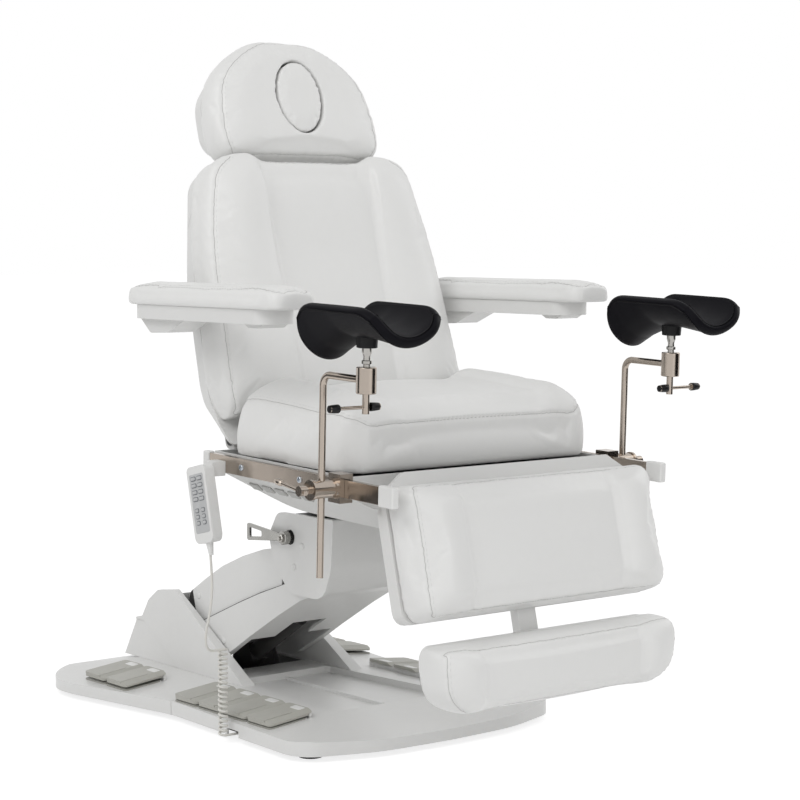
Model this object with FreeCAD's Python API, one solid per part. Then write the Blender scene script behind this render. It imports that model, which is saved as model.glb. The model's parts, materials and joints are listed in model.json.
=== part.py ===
import FreeCAD
import Part
import math
import os

# Power examination chair with knee crutches. Millimetres, +Z up, -Y towards the foot end, +X on the
# sitter's left. Pieces are drawn where they stand in use, then all moved by ORIGIN_Y.

V = FreeCAD.Vector
os.makedirs("parts", exist_ok=True)

# Placing and fits
ORIGIN_Y = 39.0
MOVING_GAP = 0.3
PIN_GAP = 0.05

# Base
FOOT_HEIGHT = 10.0
FOOT_RADIUS = 22.0
FRAME_PLATE = 6.0
BASE_FRONT = -257.0
BASE_REAR = 640.0
BASE_FRONT_HALF = 297.0
BASE_WAIST_HALF = 278.0
BASE_REAR_HALF = 330.0
BASE_RIM = 10.0
BASE_TOP = 50.0
BASE_WALL = 4.0
RIDGE_HALF = 150.0
EDGE_SLOPE = 0.105
FRONT_SLOPE = 0.12
REAR_SLOPE = 0.15
TRAY_DEPTH = 12.0
TRAY_REAR_HALF = 105.0
TRAY_FRONT_HALF = 140.0
HOUSING_HALF = 140.0
HOUSING_TOP_HALF = 122.0
HOUSING_INNER = 114.0
HOUSING_HEIGHT = 151.0

# Pedals
PEDAL_LENGTH = 95.0
PEDAL_WIDTH = 73.0
PEDAL_THICK = 9.0
PEDAL_STEP = 78.0
PEDAL_RISE = 11.5
PEDAL_BED = 2.2
PEDAL_SLOPE = 6.5
PEDAL_FRONT_INNER = 182.0
PEDAL_REAR_INNER = 203.0
PEDAL_FRONT_START = -92.0
PEDAL_REAR_START = 352.0
PEDAL_RIB = 3.0

# Lifting arm
ARM_HEAD_Y = 15.05
ARM_HEAD_Z = 275.13
ARM_LENGTH = 446.6
ARM_ANGLE = 21.7
LINK_SHIFT_Y = 9.0
LINK_SHIFT_Z = 65.0
ARM_PIN = 14.0
LINK_PIN = 11.0
ARM_RAIL_IN = 34.0
ARM_RAIL_OUT = 60.0
ARM_RAIL_HALF = 22.0
LINK_IN = 38.0
LINK_OUT = 50.0
LINK_HALF = 9.0
STAND_IN = 66.0
STAND_OUT = 76.0
HEAD_IN = 84.0
HEAD_OUT = 94.0
UPPER_IN = 99.0
UPPER_OUT = 104.0
LOWER_IN = 106.0
LOWER_OUT = 111.0
SHROUD_IN = 113.0
SHROUD_OUT = 122.0
MOTOR_Y = 400.0
MOTOR_Z = 44.0
MOTOR_PIN = 8.0
MOTOR_TUBE = 17.0
ROD_RADIUS = 10.0
ROD_REACH = 325.0
ROD_DROP = 17.0
ROD_EYE_GAP = 2.5
ROD_EYE_WALL = 3.5

# Head of the arm
HEAD_TOP = 386.0
HEAD_PLATE = 10.0
POST_Y = 25.0
POST_RADIUS = 25.0
TURNTABLE_RADIUS = 90.0
TURNTABLE_THICK = 12.0
LEVER_Y = 61.0
LEVER_Z = 347.0
LEVER_SHAFT = 6.0
LEVER_HOLE = 14.0

# Seat, drawn level and then pitched
PITCH = 2.0
PITCH_Y = -120.0
PITCH_Z = 440.0
PAN_HALF = 286.0
PAN_FLOOR_HALF = 200.0
PAN_FLOOR = 415.0
PAN_KNEE = 478.0
PAN_TOP = 511.0
PAN_FRONT = -388.0
PAN_REAR = 64.0
PAN_WALL = 4.0
SEAT_HALF = 290.0
SEAT_FRONT = -323.0
SEAT_REAR = 10.0
SEAT_EDGE = 101.0
SEAT_CROWN = 27.0
RAIL_OFFSET = 11.0
RAIL_THICK = 10.0
RAIL_HEIGHT = 30.0
RAIL_Z = 495.0
RAIL_FRONT = -435.0
RAIL_REAR = 49.0
FRAME_BAR = 30.0
FRAME_Z = 470.0

# Back and headrest, drawn upright about the back hinge and then leaned
RECLINE = 15.4
BACK_Y = 95.0
BACK_Z = 530.0
BACK_PIN = 10.0
BACK_LUG_IN = 205.0
BACK_LUG = 12.0
BACK_HALF = 267.0
BACK_BULGE = 17.0
BACK_REAR = 22.0
BACK_FACE = 88.0
SHELL_REAR = -8.0
BACK_PLATE_REAR = 11.0
BACK_PLATE_FACE = 20.0
HEAD_BOTTOM = 517.0
HEAD_HALF = 188.0
HEAD_FACE = 66.0
HEAD_BACK = 24.0
HEADROD_X = 60.0
HEADROD_N = 14.0
HEADROD_RADIUS = 6.0
PLUG_HALF = 51.0
PLUG_TALL = 70.0
PLUG_CENTRE = 634.0

# Armrests
ARMREST_Y = 137.0
ARMREST_Z = 741.0
ARMREST_PIN = 6.0
ARMREST_X = 338.0
ARMREST_HALF = 48.0
ARMREST_REAR = 207.0
ARMREST_FRONT = -262.0
ARMREST_BODY = 752.0
ARMREST_PAD = 777.0
ARMREST_TOP = 812.0

# Leg rest and foot rest, drawn hanging about the leg hinge
LEG_Y = -375.0
LEG_Z = 495.0
LEG_HANG = 13.6
LEG_PIN = 8.0
LEG_LUG_IN = 150.0
LEG_LUG = 12.0
LEG_BOARD_REAR = 22.0
LEG_BOARD = 12.0
LEG_HALF = 278.0
LEG_TOP = -12.0
LEG_BOTTOM = 236.0
LEG_FACE = 104.0
FOOT_BAR_HALF = 21.0
FOOT_BAR_REAR = 2.0
FOOT_BAR_FACE = 20.0
FOOT_BAR_TOP = 80.0
FOOT_BAR_END = 330.0
FOOT_HALF = 268.0
FOOT_LOW = 128.0
FOOT_HIGH = 243.0
FOOT_FACE = -552.0
FOOT_BACK = -485.0
FOOT_SHELL = 12.0

# Knee crutches, drawn with the level seat
CLAMP_Y = -329.0
CLAMP_WIDE = 32.0
CLAMP_HIGH = 48.0
CLAMP_JAW = 7.0
BARREL_RADIUS = 15.0
BARREL_LENGTH = 40.0
POLE_RADIUS = 6.0
POLE_BOTTOM = 349.0
POLE_TOP = 683.0
POLE_BEND = 18.0
SOCKET_REACH = 113.0
SOCKET_RADIUS = 16.5
SOCKET_HEIGHT = 43.0
SCREW_RADIUS = 6.0
STUD_GAP = 30.0
HUB_RADIUS = 17.0
HUB_HEIGHT = 16.0
KNEE_HALF = 78.0
KNEE_LONG = 222.0

# Hand control and its cord
HANDSET_IN = 335.0
HANDSET_THICK = 20.0
HANDSET_WIDE = 58.0
HANDSET_TALL = 136.0
HANDSET_Y = 7.0
HANDSET_Z = 431.0
HANDSET_LEAN = 13.0
RELIEF_LENGTH = 22.0
CORD_RADIUS = 2.25
CURL_RADIUS = 6.75
CURL_X = -306.0
CURL_Y = 11.0
CURL_TOP = 170.0
CURL_BOTTOM = 15.0
CURL_TURNS = 18


# Outlines and simple solids
def side(x):
    return lambda p: V(x, p.x, p.y)


def plan(z):
    return lambda p: V(p.x, p.y, z)


def front(y):
    return lambda p: V(p.x, y, p.y)


def outline(points, place):
    count = len(points)
    flat = [V(p[0], p[1], 0) for p in points]
    turns = []
    for i in range(count):
        here = flat[i]
        radius = points[i][2] if len(points[i]) > 2 else 0
        if radius == 0:
            turns.append((here, here, here))
            continue
        back = (flat[i - 1] - here).normalize()
        ahead = (flat[(i + 1) % count] - here).normalize()
        half = back.getAngle(ahead) / 2
        reach = radius / math.tan(half)
        middle = (back + ahead).normalize() * (radius / math.sin(half) - radius)
        turns.append((here + back * reach, here + middle, here + ahead * reach))
    edges = []
    for i in range(count):
        start, middle, end = turns[i]
        if (end - start).Length > 1e-6:
            edges.append(Part.Arc(place(start), place(middle), place(end)).toShape())
        after = turns[(i + 1) % count][0]
        if (after - end).Length > 1e-6:
            edges.append(Part.makeLine(place(end), place(after)))
    return Part.Wire(edges)


def side_plate(points, x0, x1):
    return Part.Face(outline(points, side(x0))).extrude(V(x1 - x0, 0, 0))


def flat_plate(points, z0, z1):
    return Part.Face(outline(points, plan(z0))).extrude(V(0, 0, z1 - z0))


def front_plate(points, y0, y1):
    return Part.Face(outline(points, front(y0))).extrude(V(0, y1 - y0, 0))


def box(x0, x1, y0, y1, z0, z1):
    return Part.makeBox(x1 - x0, y1 - y0, z1 - z0, V(x0, y0, z0))


def cross_bar(radius, x0, x1, y, z):
    return Part.makeCylinder(radius, x1 - x0, V(x0, y, z), V(1, 0, 0))


def column(radius, x, y, z0, z1):
    return Part.makeCylinder(radius, z1 - z0, V(x, y, z0))


def mirrored(shape):
    return shape.mirror(V(0, 0, 0), V(1, 0, 0))


def pair(shape):
    return [shape, mirrored(shape)]


def joined(shapes):
    return shapes[0].multiFuse(shapes[1:]).removeSplitter()


def pitched(shape):
    return shape.rotated(V(0, PITCH_Y, PITCH_Z), V(1, 0, 0), PITCH)


def leaned(shape):
    return shape.rotated(V(0, 0, 0), V(1, 0, 0), -RECLINE).translated(V(0, BACK_Y, BACK_Z))


def hung(shape):
    return shape.rotated(V(0, 0, 0), V(1, 0, 0), -LEG_HANG).translated(V(0, LEG_Y, LEG_Z))


def along_arm(shape, y, z):
    return shape.rotated(V(0, 0, 0), V(1, 0, 0), -ARM_ANGLE).translated(V(0, y, z))


def level_point(y, z):
    p = V(0, y - PITCH_Y, z - PITCH_Z)
    turn = math.radians(PITCH)
    level_y = p.y * math.cos(turn) + p.z * math.sin(turn)
    level_z = p.z * math.cos(turn) - p.y * math.sin(turn)
    return PITCH_Y + level_y, PITCH_Z + level_z


def soft_section(place, half, bulge, low, high, crown, valley, dip, centre):
    p = [V(-half - bulge * 0.7, low, 0), V(half + bulge * 0.7, low, 0), V(half, high, 0)]
    p += [V(valley, high + dip, 0), V(-valley, high + dip, 0), V(-half, high, 0)]
    edges = [Part.makeLine(place(p[0]), place(p[1]))]
    middle = V(half + bulge, (low + high) / 2, 0)
    edges.append(Part.Arc(place(p[1]), place(middle), place(p[2])).toShape())
    middle = V((half + valley) / 2, high + crown, 0)
    edges.append(Part.Arc(place(p[2]), place(middle), place(p[3])).toShape())
    edges.append(Part.Arc(place(p[3]), place(V(0, high + centre, 0)), place(p[4])).toShape())
    middle = V(-(half + valley) / 2, high + crown, 0)
    edges.append(Part.Arc(place(p[4]), place(middle), place(p[5])).toShape())
    middle = V(-half - bulge, (low + high) / 2, 0)
    edges.append(Part.Arc(place(p[5]), place(middle), place(p[0])).toShape())
    return Part.Wire(edges)


def put(name, shapes):
    if not isinstance(shapes, list):
        shapes = [shapes]
    moved = [s.translated(V(0, -ORIGIN_Y, 0)) for s in shapes]
    solids = [solid for s in moved for solid in s.Solids]
    whole = solids[0] if len(solids) == 1 else Part.makeCompound(solids)
    whole.exportStep("parts/" + name + ".step")
    low_high.append((name, whole.BoundBox, len(solids), whole.isValid()))


low_high = []

# Arm geometry
arm_turn = math.radians(ARM_ANGLE)
arm_front_y = ARM_HEAD_Y
arm_front_z = ARM_HEAD_Z
arm_rear_y = arm_front_y + ARM_LENGTH * math.cos(arm_turn)
arm_rear_z = arm_front_z - ARM_LENGTH * math.sin(arm_turn)
link_rear_y = arm_rear_y + LINK_SHIFT_Y
link_rear_z = arm_rear_z + LINK_SHIFT_Z
link_front_y = arm_front_y + LINK_SHIFT_Y
link_front_z = arm_front_z + LINK_SHIFT_Z


# Base cover: hollow moulding with a sunk tray
def cover_outline(inset):
    right = [(BASE_FRONT_HALF - inset, BASE_FRONT + 57 + inset / 2, 60)]
    right.append((BASE_WAIST_HALF - inset, BASE_FRONT + 478, 250))
    right.append((BASE_REAR_HALF - inset, BASE_REAR - 140, 150))
    right.append((BASE_REAR_HALF - inset, BASE_REAR - inset, 108))
    bow = [(-RIDGE_HALF, BASE_FRONT + 7 + inset, 300), (0, BASE_FRONT + inset, 400)]
    bow.append((RIDGE_HALF, BASE_FRONT + 7 + inset, 300))
    left = [(-x, y, r) for x, y, r in reversed(right)]
    return bow + right + left


def cover_block(inset, bottom):
    top = BASE_TOP - inset
    low = top - EDGE_SLOPE * 300
    ridge_front = BASE_FRONT + 167
    ridge_rear = BASE_REAR - 80
    across = [(-RIDGE_HALF - 300, bottom - 1), (RIDGE_HALF + 300, bottom - 1), (RIDGE_HALF + 300, low)]
    across += [(RIDGE_HALF, top), (-RIDGE_HALF, top), (-RIDGE_HALF - 300, low)]
    along = [(ridge_front - 220, bottom - 1), (ridge_rear + 140, bottom - 1)]
    along += [(ridge_rear + 140, top - REAR_SLOPE * 140), (ridge_rear, top), (ridge_front, top)]
    along += [(ridge_front - 220, top - FRONT_SLOPE * 220)]
    block = flat_plate(cover_outline(inset), bottom, BASE_TOP + 20)
    block = block.common(front_plate(across, ridge_front - 260, ridge_rear + 200))
    return block.common(side_plate(along, -460, 460))


def tray_outline(grow):
    rear = [(-TRAY_REAR_HALF - grow, 250 + grow, 12), (-TRAY_FRONT_HALF - grow, -90 - grow, 30)]
    return rear + [(-x, y, r) for x, y, r in reversed(rear)]


tray_floor = BASE_TOP - TRAY_DEPTH
cavity = cover_block(BASE_WALL, BASE_RIM - 10)
cavity = cavity.cut(flat_plate(tray_outline(BASE_WALL), tray_floor - BASE_WALL, BASE_TOP + 30))
cover = cover_block(0, BASE_RIM).cut(cavity)
cover = cover.cut(flat_plate(tray_outline(0), tray_floor, BASE_TOP + 30))
cover = cover.cut(box(-HOUSING_INNER + 2, HOUSING_INNER - 2, 330, 590, BASE_RIM - 9, BASE_TOP + 30))
cover = cover.cut(box(-BASE_FRONT_HALF - 20, -BASE_WAIST_HALF + 12, CURL_Y - 22, CURL_Y + 16, BASE_RIM - 9, 22))
rib = box(-3, 3, -60, 240, tray_floor - 1, tray_floor + 5)
cover = cover.fuse(rib)

# Pedals and the ribs they rock on
pedal_turn = math.radians(PEDAL_SLOPE)
pedal_top = BASE_TOP + PEDAL_RISE
rib_out = 6 * math.cos(pedal_turn) - PEDAL_THICK * math.sin(pedal_turn)
rib_down = 6 * math.sin(pedal_turn) + PEDAL_THICK * math.cos(pedal_turn)


def pedal_blank():
    half = PEDAL_WIDTH / 2
    end = PEDAL_LENGTH
    shape = flat_plate([(0, -half, 4), (end, -half, 8), (end, half, 8), (0, half, 4)], -PEDAL_THICK, 0)
    slope = [(14 - half, 0), (-half - 1, -4.5), (-half - 1, 2), (14 - half, 2)]
    shape = shape.cut(side_plate(slope, -1, end + 1))
    shape = shape.cut(box(34, end + 1, 15 - half, 17 - half, -1.2, 1))
    shape = shape.fuse(flat_plate([(5, -17, 4), (17, -17, 4), (17, 8, 4), (5, 8, 4)], -1, 0.6))
    groove = Part.makeCylinder(PEDAL_RIB + PIN_GAP, PEDAL_WIDTH + 2, V(6, -half - 1, -PEDAL_THICK), V(0, 1, 0))
    return shape.cut(groove).rotated(V(0, 0, 0), V(0, 1, 0), PEDAL_SLOPE)


def pedal_bed():
    half = PEDAL_WIDTH / 2 - 1
    end = PEDAL_LENGTH - 1
    shape = flat_plate([(12, -half, 3), (end, -half, 7), (end, half, 7), (12, half, 3)], -3, PEDAL_BED)
    return shape.rotated(V(0, 0, 0), V(0, 1, 0), math.degrees(math.atan(EDGE_SLOPE)))


banks = [(PEDAL_FRONT_INNER, PEDAL_FRONT_START, 4), (PEDAL_REAR_INNER, PEDAL_REAR_START, 2)]
pedals = []
for inner, start, count in banks:
    rib_x = inner + rib_out
    rib_z = pedal_top - rib_down
    length = count * PEDAL_STEP
    stem = box(rib_x - 2, rib_x + 2, start + PEDAL_RIB, start + length - PEDAL_RIB, rib_z - 14, rib_z)
    round_top = Part.makeCylinder(PEDAL_RIB, length - 2 * PEDAL_RIB, V(rib_x, start + PEDAL_RIB, rib_z), V(0, 1, 0))
    for shape in pair(stem) + pair(round_top):
        cover = cover.fuse(shape)
    for i in range(count):
        centre = start + (i + 0.5) * PEDAL_STEP
        pedals.append(pedal_blank().translated(V(inner, centre, pedal_top)))
        bed = pedal_bed().translated(V(inner, centre, BASE_TOP - EDGE_SLOPE * (inner - RIDGE_HALF)))
        for shape in pair(bed):
            cover = cover.fuse(shape)
cover = cover.removeSplitter()
put("base_cover", cover)
for i, shape in enumerate(pedals):
    put("pedal_left_%d" % (i + 1), shape)
    put("pedal_right_%d" % (i + 1), mirrored(shape))

# Base frame: floor plate, pivot stand with its pins, motor lugs and cover posts
plate_top = FOOT_HEIGHT + FRAME_PLATE
half = [(BASE_FRONT_HALF - 32, BASE_FRONT + 70, 20), (BASE_WAIST_HALF - 16, BASE_FRONT + 478, 200)]
half.append((BASE_REAR_HALF - 30, BASE_REAR - 75, 40))
plate = flat_plate(half + [(-x, y, r) for x, y, r in reversed(half)], FOOT_HEIGHT, plate_top)
stand = [(arm_rear_y - 70, plate_top - 1), (arm_rear_y + 80, plate_top - 1)]
stand += [(link_rear_y + 24, link_rear_z + 22, 22), (link_rear_y - 24, link_rear_z + 22, 22)]
stand += [(arm_rear_y - 30, arm_rear_z - 10, 20)]
pieces = [plate]
pieces += pair(side_plate(stand, STAND_IN, STAND_OUT))
pieces.append(cross_bar(ARM_PIN, -STAND_OUT - 3, STAND_OUT + 3, arm_rear_y, arm_rear_z))
pieces.append(cross_bar(LINK_PIN, -STAND_OUT - 3, STAND_OUT + 3, link_rear_y, link_rear_z))
lug = [(MOTOR_Y - 16, plate_top - 1), (MOTOR_Y + 16, plate_top - 1)]
lug += [(MOTOR_Y + 14, MOTOR_Z + 14, 13), (MOTOR_Y - 14, MOTOR_Z + 14, 13)]
pieces += pair(side_plate(lug, 21, 29))
pieces.append(cross_bar(MOTOR_PIN, -30, 30, MOTOR_Y, MOTOR_Z))
pieces += pair(column(8, 100, 290, plate_top - 1, BASE_TOP - BASE_WALL))
put("base_frame", joined(pieces))
foot_front = column(FOOT_RADIUS, BASE_FRONT_HALF - 54, BASE_FRONT + 92, 0, FOOT_HEIGHT)
foot_rear = column(FOOT_RADIUS, BASE_REAR_HALF - 62, BASE_REAR - 110, 0, FOOT_HEIGHT)
put("feet", pair(foot_front) + pair(foot_rear))

# Rear housing round the foot of the arm
z0 = BASE_TOP
profile = [(616, z0), (587, z0 + 66), (582, z0 + 79, 5), (560, z0 + 84, 5), (542, z0 + 119, 12)]
profile += [(512, z0 + 142, 16), (445, z0 + HOUSING_HEIGHT, 10), (185, z0)]


def housing_taper(grow):
    top = z0 + HOUSING_HEIGHT + 5
    low = HOUSING_HALF + grow
    high = HOUSING_TOP_HALF + grow
    return front_plate([(-low, z0 - 1), (low, z0 - 1), (high, top), (-high, top)], 100, 700)


reach = HOUSING_HALF + 5
whole = side_plate(profile, -reach, reach)
housing = whole.common(housing_taper(0))
flank = side_plate([(412, z0 - 1), (553, z0 + 75), (620, z0 + 75), (640, z0 - 1)], -reach, reach)
housing = housing.cut(flank.cut(housing_taper(-3)))
band = side_plate([(180, z0 - 1), (450, z0 + 156), (490, z0 + 156), (235, z0 - 1)], -reach, reach)
housing = housing.fuse(band.common(whole).common(housing_taper(1.5)))
hollow = [(100, z0 - 1), (608, z0 - 1), (580, z0 + 61), (575, z0 + 73), (554, z0 + 78), (534, z0 + 114)]
hollow += [(534, z0 + HOUSING_HEIGHT + 20), (100, z0 + HOUSING_HEIGHT + 20)]
housing = housing.cut(side_plate(hollow, -HOUSING_INNER, HOUSING_INNER))
put("rear_housing", housing)

# Main arm: two rails, end tubes, cross pieces, the rod's pin
rails = pair(box(ARM_RAIL_IN, ARM_RAIL_OUT, -ARM_LENGTH, 0, -ARM_RAIL_HALF, ARM_RAIL_HALF))
tube = cross_bar(ARM_RAIL_HALF + 4, -ARM_RAIL_OUT - 2, ARM_RAIL_OUT + 2, 0, 0)
pieces = rails + [tube, tube.translated(V(0, -ARM_LENGTH, 0))]
pieces.append(box(-ARM_RAIL_IN - 1, ARM_RAIL_IN + 1, -ARM_LENGTH + 24, -ARM_LENGTH + 50, -12, ARM_RAIL_HALF))
pieces.append(cross_bar(MOTOR_PIN, -ARM_RAIL_IN - 1, ARM_RAIL_IN + 1, -ROD_REACH, -ROD_DROP))
arm = joined(pieces)
bore = cross_bar(ARM_PIN + PIN_GAP, -ARM_RAIL_OUT - 5, ARM_RAIL_OUT + 5, 0, 0)
arm = arm.cut(bore).cut(bore.translated(V(0, -ARM_LENGTH, 0)))
arm = along_arm(arm, arm_rear_y, arm_rear_z)

# Lower cover of the arm, carried by posts on the rails
upper_edge = [(392, 138, 8), (320, 168), (241, 201), (174, 227), (94, 254), (20, 280, 14)]
lower_edge = [(-12, 250, 14), (47, 229, 60), (110, 196), (208, 140), (283, 95), (345, 62, 10)]
room = [(-60, 274), (49, 234.5, 60), (112.5, 200.5), (210.5, 144.5), (285.5, 99.5), (440, 6)]
room += [(470, 330), (-60, 400)]
lower_room = side_plate(room, -LOWER_IN, LOWER_IN)
lower = side_plate(upper_edge + lower_edge, -LOWER_OUT, LOWER_OUT).cut(lower_room)
lower = lower.cut(box(-95, 95, 225, 420, 0, 160)).cut(box(-40, 40, 165, 240, 0, 190))
put("arm_lower_cover", lower)
for reach in (330, 405):
    post = Part.makeCylinder(6, 70, V(47, -reach, -ARM_RAIL_HALF + 2), V(0, 0, -1))
    post = along_arm(post, arm_rear_y, arm_rear_z).common(lower_room)
    arm = arm.fuse(post).fuse(mirrored(post))
put("main_arm", arm.removeSplitter())

# Link: two bars with bosses and a cross piece, and the upper cover on posts
bars = pair(box(LINK_IN, LINK_OUT, -ARM_LENGTH, 0, -LINK_HALF, LINK_HALF))
boss = cross_bar(LINK_PIN + 7, LINK_IN - 2, LINK_OUT + 8, 0, 0)
pieces = bars + pair(boss) + pair(boss.translated(V(0, -ARM_LENGTH, 0)))
pieces.append(box(-LINK_IN - 1, LINK_IN + 1, -250, -220, -4, LINK_HALF))
link = joined(pieces)
bore = cross_bar(LINK_PIN + PIN_GAP, -LINK_OUT - 12, LINK_OUT + 12, 0, 0)
link = link.cut(bore).cut(bore.translated(V(0, -ARM_LENGTH, 0)))
link = along_arm(link, link_rear_y, link_rear_z)
edge = [(414, 203, 8), (360, 235), (308, 263), (240, 290), (174, 310), (125, 319), (112, 321)]
edge += [(112, 236), (174, 215), (241, 189), (320, 156), (392, 126)]
room = [(450, 178), (360, 230.5), (308, 258.5), (240, 285.7), (174, 305.8), (125, 314.9), (30, 330)]
room += [(30, 80), (450, 80)]
upper_room = side_plate(room, -UPPER_IN, UPPER_IN)
put("arm_upper_cover", side_plate(edge, -UPPER_OUT, UPPER_OUT).cut(upper_room))
for reach in (130, 330):
    post = Part.makeCylinder(5, 70, V(44, -reach, LINK_HALF - 2), V(0, 0, 1))
    post = along_arm(post, link_rear_y, link_rear_z).common(upper_room)
    link = link.fuse(post).fuse(mirrored(post))
put("link_arm", link.removeSplitter())

# Lift drive: motor tube on the base, rod on the arm
rod_y = arm_rear_y - ROD_REACH * math.cos(arm_turn) - ROD_DROP * math.sin(arm_turn)
rod_z = arm_rear_z + ROD_REACH * math.sin(arm_turn) - ROD_DROP * math.cos(arm_turn)
drive_length = math.hypot(rod_y - MOTOR_Y, rod_z - MOTOR_Z)
drive_angle = math.degrees(math.atan2(rod_z - MOTOR_Z, MOTOR_Y - rod_y))
tube_end = drive_length - 90
motor = cross_bar(MOTOR_PIN + 8, -18, 18, 0, 0).fuse(box(-18, 18, -70, -8, -18, 18))
motor = motor.fuse(Part.makeCylinder(MOTOR_TUBE, tube_end - 60, V(0, -60, 0), V(0, -1, 0)))
motor = motor.cut(Part.makeCylinder(ROD_RADIUS + MOVING_GAP, tube_end, V(0, -100, 0), V(0, -1, 0)))
motor = motor.cut(cross_bar(MOTOR_PIN + PIN_GAP, -20, 20, 0, 0))
rod = Part.makeCylinder(ROD_RADIUS, drive_length - 127, V(0, -115, 0), V(0, -1, 0))
rod = rod.fuse(cross_bar(MOTOR_PIN + ROD_EYE_GAP + ROD_EYE_WALL, -14, 14, -drive_length, 0))
rod = rod.cut(cross_bar(MOTOR_PIN + ROD_EYE_GAP, -16, 16, -drive_length, 0))
for name, shape in (("lift_motor", motor), ("lift_rod", rod)):
    shape = shape.rotated(V(0, 0, 0), V(1, 0, 0), -drive_angle)
    put(name, shape.translated(V(0, MOTOR_Y, MOTOR_Z)))

# Head bracket with its pins and post
cheek = [(arm_front_y - 23, arm_front_z - 21, 20), (arm_front_y + 25, arm_front_z - 21, 20)]
cheek += [(link_front_y + 28, link_front_z - 7, 8), (LEVER_Y + 30, LEVER_Z - 12, 12)]
cheek += [(LEVER_Y + 30, HEAD_TOP - 8), (-45, HEAD_TOP - 8), (-45, HEAD_TOP - 36, 10)]
cheek.append((arm_front_y - 24, arm_front_z + 25, 20))
pieces = pair(side_plate(cheek, HEAD_IN, HEAD_OUT))
pieces.append(box(-SHROUD_IN, SHROUD_IN, -45, 85, HEAD_TOP - HEAD_PLATE, HEAD_TOP))
pieces.append(cross_bar(ARM_PIN, -HEAD_OUT - 3, HEAD_OUT + 3, arm_front_y, arm_front_z))
pieces.append(cross_bar(LINK_PIN, -HEAD_OUT - 3, HEAD_OUT + 3, link_front_y, link_front_z))
pieces.append(column(60, 0, POST_Y, HEAD_TOP - 1, HEAD_TOP + 7 - MOVING_GAP))
pieces.append(column(POST_RADIUS, 0, POST_Y, HEAD_TOP - 1, HEAD_TOP + 40))
bracket = joined(pieces)
bracket = bracket.cut(cross_bar(LEVER_SHAFT + PIN_GAP, -HEAD_OUT - 4, -HEAD_IN + 4, LEVER_Y, LEVER_Z))
put("head_bracket", bracket)
turntable_z = HEAD_TOP + 7
table = column(TURNTABLE_RADIUS, 0, POST_Y, turntable_z, turntable_z + TURNTABLE_THICK)
table = table.cut(column(POST_RADIUS + PIN_GAP, 0, POST_Y, turntable_z - 1, turntable_z + 40))
put("turntable", table)

# Shroud over the head, with screw caps
shield = [(-70, 392, 4), (-64, 300, 80), (-40, 242, 42), (60, 242, 50), (112, 290, 20), (128, 345, 25)]
shield.append((100, 390, 22))
room = [(-65, 420), (-59, 301, 75), (-33, 230), (220, 230), (220, 420)]
shroud = side_plate(shield, -SHROUD_OUT, SHROUD_OUT).cut(side_plate(room, -SHROUD_IN, SHROUD_IN))
shroud = shroud.cut(cross_bar(LEVER_HOLE, -SHROUD_OUT - 1, -SHROUD_IN + 1, LEVER_Y, LEVER_Z))
for y, z in ((24, 334), (49, 293)):
    for cap in pair(cross_bar(5, SHROUD_OUT - 1, SHROUD_OUT + 1.5, y, z)):
        shroud = shroud.fuse(cap)
put("head_shroud", shroud.removeSplitter())

# Lock lever on its shaft
lever_x = SHROUD_OUT + 12
handle = [(LEVER_Y, LEVER_Z - 9), (LEVER_Y + 49, LEVER_Z - 9, 8), (LEVER_Y + 67, LEVER_Z - 15, 6)]
handle += [(LEVER_Y + 112, LEVER_Z - 15, 6), (LEVER_Y + 117, LEVER_Z - 7, 6)]
handle += [(LEVER_Y + 117, LEVER_Z + 7, 6), (LEVER_Y + 110, LEVER_Z + 13, 6)]
handle += [(LEVER_Y + 67, LEVER_Z + 11, 8), (LEVER_Y + 49, LEVER_Z + 5, 8), (LEVER_Y, LEVER_Z + 9)]
slot = [(LEVER_Y + 72, LEVER_Z - 9, 3), (LEVER_Y + 105, LEVER_Z - 9, 3)]
slot += [(LEVER_Y + 105, LEVER_Z + 6, 3), (LEVER_Y + 72, LEVER_Z + 6, 3)]
lever = side_plate(handle, -lever_x - 7, -lever_x).cut(side_plate(slot, -lever_x - 9, -lever_x + 2))
lever = lever.fuse(cross_bar(14, -lever_x - 7, -lever_x + 8, LEVER_Y, LEVER_Z))
lever = lever.fuse(cross_bar(LEVER_SHAFT, -lever_x, -HEAD_IN, LEVER_Y, LEVER_Z))
put("lock_lever", lever.removeSplitter())

# Seat pan: open tray with sloped flanks and a hollow front round the leg hinge
leg_y, leg_z = level_point(LEG_Y, LEG_Z)
back_y, back_z = level_point(BACK_Y, BACK_Z)
front_hollow = 42.0


def pan_block(inset):
    slope = (PAN_HALF - PAN_FLOOR_HALF) / (PAN_KNEE - PAN_FLOOR)
    half_low = PAN_FLOOR_HALF - inset * (math.hypot(1, slope) - slope)
    knee = PAN_KNEE + inset * (math.hypot(1, slope) - 1) / slope
    top = PAN_TOP + inset
    flank = [(PAN_HALF - inset, top), (PAN_HALF - inset, knee), (half_low, PAN_FLOOR + inset)]
    flank += [(-x, z) for x, z in reversed(flank)]
    keel = [(PAN_REAR - inset, top), (PAN_REAR - inset, PAN_FLOOR + 70 + inset)]
    keel += [(PAN_REAR - 124, PAN_FLOOR + inset, 150), (PAN_FRONT + inset, PAN_FLOOR + inset, 12)]
    keel.append((PAN_FRONT + inset, top))
    block = front_plate(flank, PAN_FRONT - 5, PAN_REAR + 5).common(side_plate(keel, -400, 400))
    return block.cut(cross_bar(front_hollow + inset, -400, 400, leg_y, leg_z))


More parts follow.
